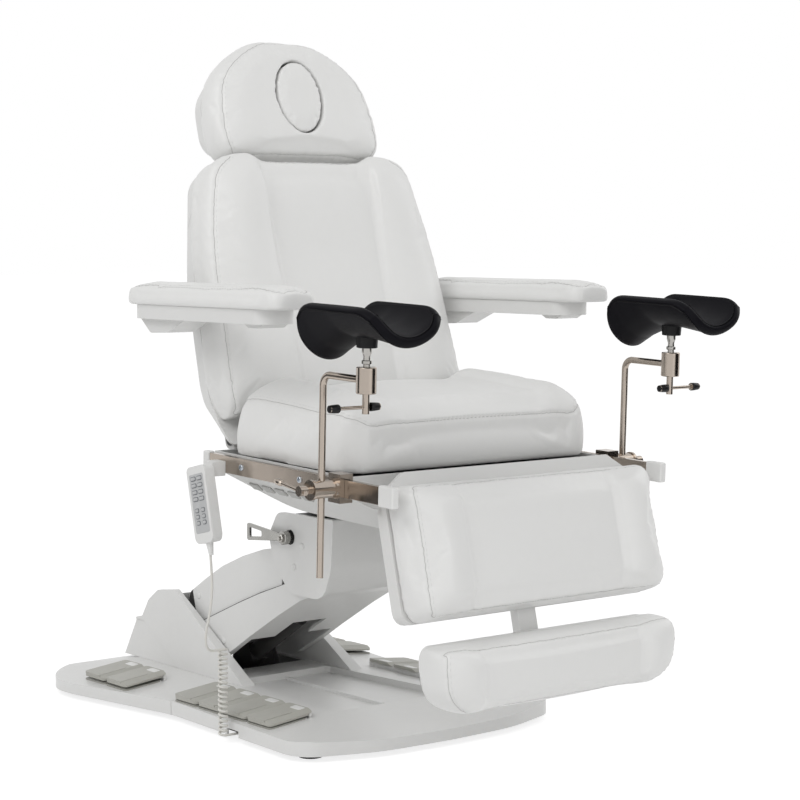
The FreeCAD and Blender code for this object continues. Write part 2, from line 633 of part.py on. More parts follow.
pan = pan_block(0).cut(pan_block(PAN_WALL))
pan = pan.cut(box(-95, 95, -110, 120, PAN_FLOOR - 10, FRAME_Z + 8))
for notch in pair(box(BACK_LUG_IN - 4, BACK_LUG_IN + BACK_LUG + 4, 30, 90, FRAME_Z + 8, PAN_TOP + 5)):
    pan = pan.cut(notch)
lug_gap = box(LEG_LUG_IN - 3, LEG_LUG_IN + LEG_LUG + 3, leg_y + 20, leg_y + 70, FRAME_Z - 4, FRAME_Z + 46)
for notch in pair(lug_gap):
    pan = pan.cut(notch)
put("seat_pan", pitched(pan))

# Seat frame: side bars, cross bars, hinge lugs with pins, block on the turntable
bar_x = PAN_HALF - 60
frame_top = FRAME_Z + FRAME_BAR
pieces = pair(box(bar_x, bar_x + FRAME_BAR, SEAT_FRONT - 2, 15, FRAME_Z + 12, frame_top))
pieces.append(box(-bar_x - 1, bar_x + 1, SEAT_FRONT - 2, SEAT_FRONT + 28, FRAME_Z, frame_top))
pieces.append(box(-bar_x - 1, bar_x + 1, -60, 15, FRAME_Z, frame_top))
pieces.append(box(-bar_x - 1, bar_x + 1, SEAT_FRONT + 27, -59, frame_top - 6, frame_top))
for y in (-250, -60):
    pieces += pair(box(bar_x + FRAME_BAR - 1, PAN_HALF - PAN_WALL, y, y + 30, FRAME_Z + 14, FRAME_Z + 24))
rear_lug = [(-15, FRAME_Z + 2), (15, FRAME_Z + 2), (back_y + 16, back_z - 14, 12)]
rear_lug += [(back_y + 14, back_z + 14, 13), (back_y - 14, back_z + 14, 13)]
rear_lug += [(back_y - 36, back_z - 8, 20), (-15, frame_top)]
pieces += pair(side_plate(rear_lug, BACK_LUG_IN, BACK_LUG_IN + BACK_LUG))
back_pin = cross_bar(BACK_PIN, BACK_LUG_IN, BACK_LUG_IN + 2 * BACK_LUG + 3, back_y, back_z)
pieces += pair(back_pin)
fore_lug = [(SEAT_FRONT + 28, FRAME_Z + 2), (SEAT_FRONT + 28, frame_top), (leg_y + 6, leg_z + 13, 12)]
fore_lug += [(leg_y - 13, leg_z + 13, 12), (leg_y - 13, leg_z - 13, 12), (leg_y + 30, leg_z - 22, 12)]
pieces += pair(side_plate(fore_lug, LEG_LUG_IN, LEG_LUG_IN + LEG_LUG))
leg_pin = cross_bar(LEG_PIN, LEG_LUG_IN, LEG_LUG_IN + 2 * LEG_LUG + 2, leg_y, leg_z)
pieces += pair(leg_pin)
block_z = turntable_z + TURNTABLE_THICK
block = box(-75, 75, POST_Y - 70, POST_Y + 40, block_z, FRAME_Z + 12)
block = block.cut(column(POST_RADIUS + 2, 0, POST_Y, block_z - 1, block_z + 30))
put("seat_frame", joined([pitched(s) for s in pieces] + [block]))

# Seat cushion: raised side rolls, softer middle, rounded front corners
seat_high = PAN_TOP + SEAT_EDGE
steps = [(0, -58, -22, 0.2), (12, -24, -8, 0.5), (42, -5, -1, 0.85), (90, 0, 0, 1.0), (170, 0, 4, 1.0)]
steps += [(260, 0, 6, 1.0), (SEAT_REAR - SEAT_FRONT - 20, -1, 2, 0.9), (SEAT_REAR - SEAT_FRONT, -10, -12, 0.4)]
wires = []
for run, inward, raised, full in steps:
    place = front(SEAT_FRONT + run)
    seam = SEAT_HALF - 12 + inward
    crown = SEAT_CROWN * full
    wires.append(soft_section(place, seam, 12, PAN_TOP, seat_high + raised, crown, seam * 0.62, crown * 0.55, crown * 0.8))
put("seat_cushion", pitched(Part.makeLoft(wires, True)))

# Side rails with spacers, end caps and the hand control's holder
rail_in = PAN_HALF + RAIL_OFFSET
rail_out = rail_in + RAIL_THICK
rail_low = RAIL_Z - RAIL_HEIGHT / 2
rail_high = RAIL_Z + RAIL_HEIGHT / 2
rail = box(rail_in, rail_out, RAIL_FRONT, RAIL_REAR, rail_low, rail_high)
for y in (-235, 5):
    rail = rail.fuse(box(PAN_HALF, rail_in + 1, y, y + 20, RAIL_Z - 8, RAIL_Z + 8))
rail = pitched(rail.removeSplitter())
put("side_rails", pair(rail))
cap_front = box(rail_in - 2, rail_out + 2, RAIL_FRONT - 38, RAIL_FRONT, rail_low - 2.5, rail_high + 2.5)
cap_front = cap_front.makeFillet(3, cap_front.Edges)
cap_rear = box(rail_in - 2, rail_out + 2, RAIL_REAR, RAIL_REAR + 19, rail_low - 2.5, rail_high + 2.5)
cap_rear = cap_rear.makeFillet(3, cap_rear.Edges)
holder = box(-HANDSET_IN, -rail_out, -2, 24, RAIL_Z - 20, RAIL_Z + 6)
put("rail_caps", pair(pitched(cap_front)) + pair(pitched(cap_rear)) + [pitched(holder)])

# Keys on the right flank of the pan
rise = V(PAN_HALF - PAN_FLOOR_HALF, 0, PAN_KNEE - PAN_FLOOR).normalize()
out = V(rise.z, 0, -rise.x)
keys = []
for i in range(5):
    corner = V(PAN_FLOOR_HALF, -6 - 38 * i, PAN_FLOOR) + rise * 58
    ring = [corner, corner + V(0, -26, 0), corner + V(0, -32, 0) + rise * 20, corner + V(0, -6, 0) + rise * 20]
    key = Part.Face(Part.makePolygon(ring + [ring[0]])).extrude(out * 3)
    keys.append(pitched(mirrored(key)))
put("panel_keys", keys)


# Back: drawn with y = -n (n forward) and z = s (s up the back)
def back_outline(grow, low, high):
    right = [(BACK_HALF - 4 + grow, low, 25), (BACK_HALF + 16 + grow, 70, 80), (BACK_HALF + 9 + grow, 291, 300)]
    right += [(BACK_HALF - 20 + grow, 440, 150), (BACK_HALF - 32 + grow, high, 58)]
    return right + [(-x, z, r) for x, z, r in reversed(right)]


lug_out = BACK_LUG_IN + BACK_LUG + 1
arm_lean = math.radians(RECLINE)
pin_s = (ARMREST_Y - BACK_Y) * math.sin(arm_lean) + (ARMREST_Z - BACK_Z) * math.cos(arm_lean)
pin_n = (BACK_Y - ARMREST_Y) * math.cos(arm_lean) + (ARMREST_Z - BACK_Z) * math.sin(arm_lean)
plate_half = lug_out + BACK_LUG + 2
plate = [(plate_half, 105), (plate_half, 330), (plate_half - 56, 475)]
plate += [(-x, z) for x, z in reversed(plate)]
plate = front_plate(plate, -BACK_PLATE_FACE, -BACK_PLATE_REAR)
plate = plate.cut(box(-HEADROD_X - 12, HEADROD_X + 12, -BACK_PLATE_FACE - 1, -BACK_PLATE_REAR + 1, 310, 420))
lug = [(-BACK_PLATE_FACE, 150), (-4, 150), (16, 24, 12), (16, -16, 14), (-16, -16, 14)]
lug.append((-BACK_PLATE_FACE, 30, 10))
pieces = [plate] + pair(side_plate(lug, lug_out, lug_out + BACK_LUG))
guide = box(HEADROD_X - 12, HEADROD_X + 12, -BACK_REAR + 0.6, -4, 415, 475)
pieces += pair(guide)
arm_pin = cross_bar(ARMREST_PIN, plate_half - 20, ARMREST_X + 12, -pin_n, pin_s)
pieces += pair(arm_pin)
back_frame = joined(pieces)
for x in (-1, 1):
    back_frame = back_frame.cut(column(HEADROD_RADIUS + PIN_GAP, x * HEADROD_X, -HEADROD_N, 400, 480))
    bore = cross_bar(BACK_PIN + PIN_GAP, lug_out - 1, lug_out + BACK_LUG + 1, 0, 0)
    back_frame = back_frame.cut(bore if x > 0 else mirrored(bore))
put("back_frame", leaned(back_frame))

lip = [(-BACK_REAR + 0.3, 505), (-4, 505, 12), (-SHELL_REAR, 486, 20), (-SHELL_REAR, 100, 60)]
lip += [(-30, 14, 40), (-60, -21), (-66, -17), (-38, 20, 40), (-BACK_REAR + 0.3, 80, 40)]
rim = outline(back_outline(10, -24, 505), front(-BACK_REAR - 60))
rear = outline(back_outline(-22, -24, 505), front(-SHELL_REAR + 1))
shell = side_plate(lip, -400, 400).common(Part.makeLoft([rim, rear], True))
shell = shell.cut(box(-plate_half - 3, plate_half + 3, -BACK_REAR - 2, -SHELL_REAR - 4, 100, 480))
slot = box(lug_out - 4, lug_out + BACK_LUG + 4, -34, 12, 16, 112)
for cutter in pair(slot) + pair(cross_bar(ARMREST_PIN + 1, plate_half, 400, -pin_n, pin_s)):
    shell = shell.cut(cutter)
for x in (-HEADROD_X, HEADROD_X):
    shell = shell.cut(column(HEADROD_RADIUS + MOVING_GAP, x, -HEADROD_N, 460, 520))
put("back_shell", leaned(shell))

steps = [(24, -9, 19, -12, 0.3), (44, -1, 13, -2, 0.7), (92, 4, 2.4, 1, 1.0), (182, 0, 1.3, 0, 1.0)]
steps += [(291, -5, 0.7, -3, 1.0), (370, -14, 0.6, -4, 1.0), (440, -28, 0.8, -4, 1.0), (480, -46, 1.6, -7, 0.8)]
steps += [(500, -78, 3, -15, 0.5), (508, -110, 10, -24, 0.3)]
wires = []
for run, inward, lifted, raised, full in steps:
    place = (lambda level: lambda p: V(p.x, -p.y, level))(run)
    seam = BACK_HALF + inward
    low = BACK_REAR + lifted
    high = BACK_FACE + raised
    wires.append(soft_section(place, seam, BACK_BULGE, low, high, 20 * full, seam * 0.47, 6 * full, 10 * full))
put("back_cushion", leaned(Part.makeLoft(wires, True)))

# Headrest: D-shaped cushion with an oval plug, shell behind, two rods
steps = [(0, -28, -16, 0.3), (14, -8, -3, 0.7), (50, 0, 0, 1.0), (110, -4, -2, 1.0), (160, -22, -4, 1.0)]
steps += [(196, -56, -6, 0.9), (220, -98, -10, 0.6), (232, -140, -20, 0.3)]
wires = []
for run, inward, raised, full in steps:
    place = (lambda level: lambda p: V(p.x, -p.y, level))(HEAD_BOTTOM + run)
    seam = HEAD_HALF - 12 + inward
    high = HEAD_FACE + raised
    wires.append(soft_section(place, seam, 12, HEAD_BACK, high, 9 * full, seam * 0.5, 9 * full, 12 * full))
head = Part.makeLoft(wires, True)


def oval(half_wide, half_tall, y0, y1):
    ring = Part.Ellipse(V(0, 0, 0), half_tall, half_wide).toShape()
    face = Part.Face(Part.Wire([ring]))
    face = face.rotated(V(0, 0, 0), V(0, 0, 1), 90).rotated(V(0, 0, 0), V(1, 0, 0), 90)
    return face.translated(V(0, y0, PLUG_CENTRE)).extrude(V(0, y1 - y0, 0))


head = head.cut(oval(PLUG_HALF, PLUG_TALL, -HEAD_FACE - 40, -HEAD_BACK - 20))
put("head_cushion", leaned(head))
put("head_plug", leaned(oval(PLUG_HALF - MOVING_GAP, PLUG_TALL - MOVING_GAP, -HEAD_FACE - 11, -HEAD_BACK - 20)))


def head_outline(inset):
    half = HEAD_HALF - 14 - inset
    low = HEAD_BOTTOM + 10 + inset
    right = [(half, low, 30), (half, HEAD_BOTTOM + 120, 60), (half * 0.62, HEAD_BOTTOM + 212 - inset, 70)]
    return right + [(-x, z, r) for x, z, r in reversed(right)]


face_ring = outline(head_outline(0), front(-HEAD_BACK))
rear_ring = outline(head_outline(26), front(5))
shell = Part.makeLoft([face_ring, rear_ring], True)
rods = []
for x in (-HEADROD_X, HEADROD_X):
    rods.append(leaned(column(HEADROD_RADIUS, x, -HEADROD_N, 330, HEAD_BOTTOM + 80)))
    shell = shell.cut(column(HEADROD_RADIUS, x, -HEADROD_N, HEAD_BOTTOM - 10, HEAD_BOTTOM + 80))
put("head_shell", leaned(shell))
put("head_rods", rods)

# Armrests
body = flat_plate([(ARMREST_X - 40, ARMREST_REAR - 17, 28), (ARMREST_X - 40, ARMREST_FRONT + 47, 30),
                   (ARMREST_X + 40, ARMREST_FRONT + 47, 30), (ARMREST_X + 40, ARMREST_REAR - 17, 28)],
                  ARMREST_BODY, ARMREST_PAD)
boss = [(ARMREST_Y + 48, ARMREST_BODY + 1), (ARMREST_Y + 14, ARMREST_Z - 15, 14)]
boss += [(ARMREST_Y - 40, ARMREST_Z - 13, 16), (ARMREST_Y - 100, ARMREST_BODY + 1)]
body = body.fuse(side_plate(boss, ARMREST_X - 32, ARMREST_X + 24))
bulge = [(ARMREST_FRONT + 120, ARMREST_BODY + 1), (ARMREST_FRONT + 105, ARMREST_BODY - 7, 8)]
bulge += [(ARMREST_FRONT + 75, ARMREST_BODY - 7, 8), (ARMREST_FRONT + 60, ARMREST_BODY + 1)]
body = body.fuse(side_plate(bulge, ARMREST_X - 26, ARMREST_X + 26)).removeSplitter()
body = body.cut(cross_bar(ARMREST_PIN + PIN_GAP, ARMREST_X - 60, ARMREST_X + 13, ARMREST_Y, ARMREST_Z))
long = ARMREST_REAR - ARMREST_FRONT
steps = [(0, -20, -8, 0.5), (8, -7, -3, 0.8), (28, 0, 0, 1.0), (56, 0, 0, 1.0)]
steps += [(long * share, 0, 0, 1.0) for share in (0.22, 0.36, 0.5, 0.64, 0.78)]
steps += [(long - 56, 0, 0, 1.0), (long - 28, 0, 0, 1.0), (long - 8, -7, -3, 0.8), (long, -20, -8, 0.5)]
wires = []
for run, inward, raised, full in steps:
    place = front(ARMREST_FRONT + run)
    seam = ARMREST_HALF - 4 + inward
    high = ARMREST_TOP - 4 + raised
    wires.append(soft_section(place, seam, 4, ARMREST_PAD, high, 4 * full, seam * 0.5, 5 * full, 8 * full))
pad = Part.makeLoft(wires, True).translated(V(ARMREST_X, 0, 0))
put("arm_pad_left", pad)
put("arm_pad_right", mirrored(pad))
put("arm_body_left", body)
put("arm_body_right", mirrored(body))

# Leg rest: drawn with y = -n (n forward) and z = -s (s down)
board_face = LEG_BOARD_REAR + LEG_BOARD
board = [(-LEG_HALF + 48, -LEG_TOP, 8), (-LEG_HALF, -20, 20), (-LEG_HALF, -LEG_BOTTOM, 25)]
board += [(-x, z, r) for x, z, r in reversed(board)]
pieces = [front_plate(board, -board_face, -LEG_BOARD_REAR)]
lug_in = LEG_LUG_IN + LEG_LUG + 1
lug = [(-LEG_BOARD_REAR - 2, 12), (-LEG_BOARD_REAR - 2, -44), (-8, -44, 6), (12, -10, 10), (12, 12, 11)]
pieces += pair(side_plate(lug, lug_in, lug_in + LEG_LUG))
guide = box(-FOOT_BAR_HALF - 6, FOOT_BAR_HALF + 6, -LEG_BOARD_REAR - 1, -FOOT_BAR_REAR + 5, -200, -120)
pieces.append(guide)
leg = joined(pieces)
leg = leg.cut(box(-FOOT_BAR_HALF - MOVING_GAP, FOOT_BAR_HALF + MOVING_GAP, -FOOT_BAR_FACE - MOVING_GAP,
                  -FOOT_BAR_REAR + MOVING_GAP, -210, -110))
bore = cross_bar(LEG_PIN + PIN_GAP, lug_in - 1, lug_in + LEG_LUG + 1, 0, 0)
for cutter in pair(bore):
    leg = leg.cut(cutter)
put("leg_shell", hung(leg))
steps = [(8, -20, -14, 0.2), (20, -4, -4, 0.6), (60, 0, 0, 1.0), (125, 0, 1, 1.0), (190, 0, 0, 1.0)]
steps += [(226, -6, -5, 0.6), (238, -24, -18, 0.2)]
wires = []
for run, inward, raised, full in steps:
    place = (lambda level: lambda p: V(p.x, -p.y, level))(-run)
    seam = LEG_HALF - 8 + inward
    high = LEG_FACE + raised - 4
    wires.append(soft_section(place, seam, 10, board_face, high, 12 * full, seam * 0.65, 3 * full, 8 * full))
put("leg_cushion", hung(Part.makeLoft(wires, True)))

# Foot rest: bar in the leg's guide, backing shell and cushion
bar = hung(box(-FOOT_BAR_HALF, FOOT_BAR_HALF, -FOOT_BAR_FACE, -FOOT_BAR_REAR, -FOOT_BAR_END, -FOOT_BAR_TOP))
shell_back = FOOT_BACK + FOOT_SHELL
backing = [(-FOOT_HALF + 14, FOOT_HIGH - 4, 20), (-FOOT_HALF + 14, FOOT_LOW + 8, 74)]
backing += [(-x, z, r) for x, z, r in reversed(backing)]
pieces = [bar, front_plate(backing, FOOT_BACK, shell_back)]
pieces.append(box(-30, 30, shell_back - 1, shell_back + 22, 150, 200))
put("foot_bar", joined(pieces))
steps = [(0, -66, -14, 0.2), (8, -40, -6, 0.5), (22, -20, -2, 0.8), (48, -4, 0, 1.0), (80, 0, 0, 1.0)]
steps += [(106, -3, -4, 0.7), (FOOT_HIGH - FOOT_LOW, -16, -16, 0.3)]
wires = []
for run, inward, raised, full in steps:
    place = (lambda level: lambda p: V(p.x, FOOT_BACK - p.y, level))(FOOT_LOW + run)
    seam = FOOT_HALF - 8 + inward
    high = FOOT_BACK - FOOT_FACE + raised
    wires.append(soft_section(place, seam, 8, 0, high, 10 * full, seam * 0.7, 2 * full, 7 * full))
put("foot_cushion", Part.makeLoft(wires, True))

# Knee crutch on each side
jaw_in = rail_in - CLAMP_JAW
jaw_out = rail_out + 9
pole_x = jaw_out + 6 + BARREL_LENGTH / 2
barrel_out = jaw_out + 6 + BARREL_LENGTH
half_wide = CLAMP_WIDE / 2
half_high = CLAMP_HIGH / 2
clamp = box(jaw_in, jaw_out, CLAMP_Y - half_wide, CLAMP_Y + half_wide, RAIL_Z - half_high, RAIL_Z + half_high)
clamp = clamp.cut(box(rail_in - MOVING_GAP, rail_out + MOVING_GAP, CLAMP_Y - 40, CLAMP_Y + 40,
                      rail_low - MOVING_GAP, rail_high + MOVING_GAP))
clamp = clamp.cut(box(jaw_in - 1, rail_in, CLAMP_Y - 40, CLAMP_Y + 40, RAIL_Z - 9, RAIL_Z + 9))
clamp = clamp.fuse(cross_bar(BARREL_RADIUS + 2, jaw_out - 1, jaw_out + 6, CLAMP_Y, RAIL_Z))
clamp = clamp.fuse(cross_bar(BARREL_RADIUS, jaw_out + 5, barrel_out, CLAMP_Y, RAIL_Z))
clamp = clamp.fuse(cross_bar(BARREL_RADIUS + 2, barrel_out - 1, barrel_out + 4, CLAMP_Y, RAIL_Z)).removeSplitter()
clamp = clamp.cut(column(POLE_RADIUS + PIN_GAP, pole_x, CLAMP_Y, RAIL_Z - 40, RAIL_Z + 40))
clamp = clamp.cut(cross_bar(SCREW_RADIUS + PIN_GAP, pole_x + POLE_RADIUS, barrel_out + 6, CLAMP_Y, RAIL_Z))
screw = cross_bar(SCREW_RADIUS, pole_x + POLE_RADIUS + 1, barrel_out + 26, CLAMP_Y, RAIL_Z)
screw = screw.fuse(cross_bar(SCREW_RADIUS + 2.5, barrel_out + 12, barrel_out + 26, CLAMP_Y, RAIL_Z))
tommy = Part.makeCylinder(3, 78, V(barrel_out + 19, CLAMP_Y - 10, RAIL_Z - 2), V(0, 1, 0.12))
knob = Part.makeSphere(5, V(barrel_out + 19, CLAMP_Y + 67, RAIL_Z + 7.3))
screw = screw.fuse(tommy).fuse(knob).removeSplitter()

stud_y = CLAMP_Y - SOCKET_REACH
half_socket = SOCKET_HEIGHT / 2
corner = V(pole_x, CLAMP_Y, POLE_TOP)
rise = Part.makeLine(V(pole_x, CLAMP_Y, POLE_BOTTOM), corner - V(0, 0, POLE_BEND))
diagonal = POLE_BEND * (1 - math.sqrt(0.5))
middle = corner + V(0, -diagonal, -diagonal)
bend = Part.Arc(corner - V(0, 0, POLE_BEND), middle, corner - V(0, POLE_BEND, 0)).toShape()
reach = Part.makeLine(corner - V(0, POLE_BEND, 0), V(pole_x, stud_y + SOCKET_RADIUS - 3, POLE_TOP))
ring = Part.Wire([Part.makeCircle(POLE_RADIUS, V(pole_x, CLAMP_Y, POLE_BOTTOM), V(0, 0, 1))])
pole = Part.Wire([rise, bend, reach]).makePipeShell([ring], True, False)
socket = column(SOCKET_RADIUS, pole_x, stud_y, POLE_TOP - half_socket, POLE_TOP + half_socket)
socket = socket.makeFillet(2, [e for e in socket.Edges if isinstance(e.Curve, Part.Circle)])
pole = pole.fuse(socket).removeSplitter()
pole = pole.cut(column(SCREW_RADIUS + PIN_GAP, pole_x, stud_y, POLE_TOP - 60, POLE_TOP + 60))

screw_low = POLE_TOP - half_socket - 32
handle_z = screw_low + 11
turn_screw = column(SCREW_RADIUS, pole_x, stud_y, screw_low, POLE_TOP - 1)
handle = cross_bar(3, pole_x - 24, pole_x + 70, stud_y, handle_z)
for x in (pole_x - 26, pole_x + 54):
    handle = handle.fuse(cross_bar(6, x, x + 18, stud_y, handle_z))
turn_screw = turn_screw.fuse(handle).removeSplitter()

hub_low = POLE_TOP + half_socket + STUD_GAP
knee_low = hub_low + HUB_HEIGHT
stud = column(SCREW_RADIUS, pole_x, stud_y, POLE_TOP, hub_low + 2)
stud = stud.fuse(column(SCREW_RADIUS + 2, pole_x, stud_y, hub_low - 6, hub_low + 2))
stud = stud.fuse(column(HUB_RADIUS, pole_x, stud_y, hub_low, knee_low + 8))


def knee_section(y, half, rim_z, trough, thick, tip):
    inner = [V(-half + tip, y, rim_z), V(0, y, trough), V(half - tip, y, rim_z)]
    outer = [V(half, y, rim_z - tip), V(0, y, trough - thick), V(-half, y, rim_z - tip)]
    edges = [Part.Arc(inner[0], inner[1], inner[2]).toShape(), Part.makeLine(inner[2], outer[0])]
    edges.append(Part.Arc(outer[0], outer[1], outer[2]).toShape())
    edges.append(Part.makeLine(outer[2], inner[0]))
    return Part.Wire(edges)


rim = knee_low + 57
steps = [(0, -26, -46, -51, 14), (10, -11, -19, -44, 17), (36, -1, -3, -28, 20), (98, 0, 0, -2, 20)]
steps += [(150, 0, 0, -2, 20), (KNEE_LONG - 14, -8, -9, -9, 17), (KNEE_LONG, -28, -32, -15, 14)]
wires = []
for run, inward, rim_drop, droop, thick in steps:
    y = stud_y + KNEE_LONG * 0.49 - run
    section = knee_section(y, KNEE_HALF + inward, rim + rim_drop, knee_low + 20 + droop, thick, 11)
    wires.append(section.translated(V(pole_x, 0, 0)))
knee = Part.makeLoft(wires, True).fuse(stud)
crutch = [("rail_clamp", clamp), ("clamp_screw", screw), ("crutch_pole", pole)]
crutch += [("pad_screw", turn_screw), ("knee_pad", knee)]
for name, shape in crutch:
    put(name + "_left", pitched(shape))
    put(name + "_right", pitched(mirrored(shape)))

# Hand control with its strain relief
half_wide = HANDSET_WIDE / 2
half_tall = HANDSET_TALL / 2
face = [(-half_wide, -half_tall, 14), (half_wide, -half_tall, 14), (half_wide, half_tall, 10)]
face.append((-half_wide, half_tall, 10))
handset = side_plate(face, -HANDSET_THICK / 2, HANDSET_THICK / 2)
relief = Part.makeCone(4, 7, RELIEF_LENGTH + 2, V(0, 0, -half_tall - RELIEF_LENGTH))
handset = handset.fuse(relief).removeSplitter().rotated(V(0, 0, 0), V(1, 0, 0), -HANDSET_LEAN)
cord_x = -HANDSET_IN - HANDSET_THICK / 2
put("handset", handset.translated(V(cord_x, HANDSET_Y, HANDSET_Z)))

# Straight part of the cord: runs joined by tangent arcs
lean = math.radians(HANDSET_LEAN)
exit_run = half_tall + RELIEF_LENGTH + MOVING_GAP
exit_point = V(cord_x, HANDSET_Y - exit_run * math.sin(lean), HANDSET_Z - exit_run * math.cos(lean))
curl_start = V(CURL_X, CURL_Y - CURL_RADIUS, CURL_TOP)
lead = curl_start - V(2 * CORD_RADIUS, 0, 0)
route = [exit_point, exit_point + V(-5, -12, -75), lead + V(-47.5, -10.25, 27), lead + V(-29.5, 0, 0), lead]
edges = []
pen = route[0]
length = 0
for i in range(1, len(route) - 1):
    back = route[i - 1] - route[i]
    ahead = route[i + 1] - route[i]
    run = 0.45 * min(back.Length, ahead.Length)
    back.normalize()
    ahead.normalize()
    half = back.getAngle(ahead) / 2
    radius = run * math.tan(half)
    middle = (back + ahead).normalize() * (radius / math.sin(half) - radius)
    start = route[i] + (route[i - 1] - route[i]).normalize() * run
    end = route[i] + (route[i + 1] - route[i]).normalize() * run
    edges.append(Part.makeLine(pen, start))
    edges.append(Part.Arc(start, route[i] + middle, end).toShape())
    print("cord bend radius %.1f" % radius)
    pen = end
edges.append(Part.makeLine(pen, route[-1]))
path = Part.Wire(edges)
ring = Part.Wire([Part.makeCircle(CORD_RADIUS, route[0], route[1] - route[0])])
cord = path.makePipeShell([ring], True, False)
print("cord volume %.4f of section times length" % (cord.Volume / (math.pi * CORD_RADIUS ** 2 * path.Length)))
put("handset_cord", cord)

# Curled part of the cord: half-turn pairs of arcs, straight ends
pitch_step = (CURL_TOP - CURL_BOTTOM) / CURL_TURNS
count = CURL_TURNS * 4
points = []
tangents = []
fall = -pitch_step / (2 * math.pi)
for i in range(count + 1):
    angle = -math.pi / 2 + i * math.pi / 2
    z = CURL_TOP - pitch_step * i / 4
    points.append(V(CURL_X + CURL_RADIUS * math.cos(angle), CURL_Y + CURL_RADIUS * math.sin(angle), z))
    slope = fall if 0 < i < count else 0
    tangents.append(V(-CURL_RADIUS * math.sin(angle), CURL_RADIUS * math.cos(angle), slope).normalize())


def biarc(p0, t0, p1, t1):
    chord = p1 - p0
    both = t0 + t1
    spread = 2 * (1 - t0.dot(t1))
    along = chord.dot(both)
    reach = (-along + math.sqrt(along * along + spread * chord.dot(chord))) / spread
    q0 = p0 + t0 * reach
    q1 = p1 - t1 * reach
    joint = (q0 + q1) * 0.5
    arcs = []
    for a, q, b in ((p0, q0, joint), (joint, q1, p1)):
        u = (a - q).normalize()
        w = (b - q).normalize()
        half = u.getAngle(w) / 2
        radius = (a - q).Length * math.tan(half)
        middle = q + (u + w).normalize() * (radius / math.sin(half) - radius)
        arcs.append(Part.Arc(a, middle, b).toShape())
    return arcs


straight_in = Part.makeLine(lead, points[0])
edges = [straight_in]
for i in range(count):
    edges += biarc(points[i], tangents[i], points[i + 1], tangents[i + 1])
tail_end = points[-1] + V(-CURL_X - BASE_WAIST_HALF + 10, 0, 0)
edges.append(Part.makeLine(points[-1], tail_end))
path = Part.Wire(edges)
ring = Part.Wire([Part.makeCircle(CORD_RADIUS, lead, V(1, 0, 0))])
curls = path.makePipeShell([ring], True, False)
samples = []
for edge in edges:
    samples += edge.discretize(5)[:-1]
least = 1000.0
for i in range(0, len(samples), 2):
    for j in range(i + 14, min(i + 140, len(samples))):
        least = min(least, (samples[i] - samples[j]).Length)
print("curl gap %.2f" % (least - 2 * CORD_RADIUS))
print("curl volume %.4f of section times length" % (curls.Volume / (math.pi * CORD_RADIUS ** 2 * path.Length)))
put("handset_cord_curls", curls)

# Overall box, cord left out
boxes = [b for name, b, count, good in low_high if "cord" not in name]
print("nodes %d" % len(low_high))
print("x %.1f %.1f" % (min(b.XMin for b in boxes), max(b.XMax for b in boxes)))
print("y %.1f %.1f" % (min(b.YMin for b in boxes), max(b.YMax for b in boxes)))
print("z %.1f %.1f" % (min(b.ZMin for b in boxes), max(b.ZMax for b in boxes)))
for name, b, count, good in low_high:
    if not good:
        print("not valid " + name)
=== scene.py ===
import bpy
import json
import math
import numpy as np
from mathutils import Matrix, Vector
from mathutils.bvhtree import BVHTree
from mathutils.kdtree import KDTree

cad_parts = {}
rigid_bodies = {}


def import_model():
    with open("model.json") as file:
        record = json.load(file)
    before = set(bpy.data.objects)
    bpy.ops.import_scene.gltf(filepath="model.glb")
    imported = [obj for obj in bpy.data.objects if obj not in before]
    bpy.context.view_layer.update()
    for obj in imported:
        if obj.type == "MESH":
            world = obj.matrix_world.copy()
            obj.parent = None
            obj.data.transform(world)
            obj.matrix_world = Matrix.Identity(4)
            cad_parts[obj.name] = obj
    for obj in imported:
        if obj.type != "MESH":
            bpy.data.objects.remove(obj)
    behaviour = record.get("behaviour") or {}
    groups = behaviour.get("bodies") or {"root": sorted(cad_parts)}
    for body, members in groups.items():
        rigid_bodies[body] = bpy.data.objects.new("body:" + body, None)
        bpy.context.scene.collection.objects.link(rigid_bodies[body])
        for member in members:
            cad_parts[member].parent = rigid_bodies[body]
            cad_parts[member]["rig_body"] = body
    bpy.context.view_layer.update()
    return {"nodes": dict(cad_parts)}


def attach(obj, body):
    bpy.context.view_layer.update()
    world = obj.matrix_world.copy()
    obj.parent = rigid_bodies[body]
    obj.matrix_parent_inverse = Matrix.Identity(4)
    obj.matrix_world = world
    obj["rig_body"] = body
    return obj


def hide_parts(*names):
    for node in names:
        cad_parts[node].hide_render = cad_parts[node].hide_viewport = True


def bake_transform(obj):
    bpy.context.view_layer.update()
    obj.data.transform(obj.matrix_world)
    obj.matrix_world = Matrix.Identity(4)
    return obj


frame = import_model()
scene = bpy.context.scene
scene.view_settings.view_transform = "Standard"

# Room: a pale floor that fades to white, an even white sky and three large soft lamps, as in a
# product studio. Two black cards beside the chair give its polished metal something to mirror.


def rays_that_see(nodes):
    """One for what the eye, a mirror or a clear piece looks at, nought for plain light."""
    path = nodes.new("ShaderNodeLightPath")
    first = nodes.new("ShaderNodeMath")
    first.operation = "MAXIMUM"
    last = nodes.new("ShaderNodeMath")
    last.operation = "MAXIMUM"
    links = path.id_data.links
    links.new(path.outputs["Is Camera Ray"], first.inputs[0])
    links.new(path.outputs["Is Glossy Ray"], first.inputs[1])
    links.new(first.outputs[0], last.inputs[0])
    links.new(path.outputs["Is Transmission Ray"], last.inputs[1])
    return last.outputs[0]


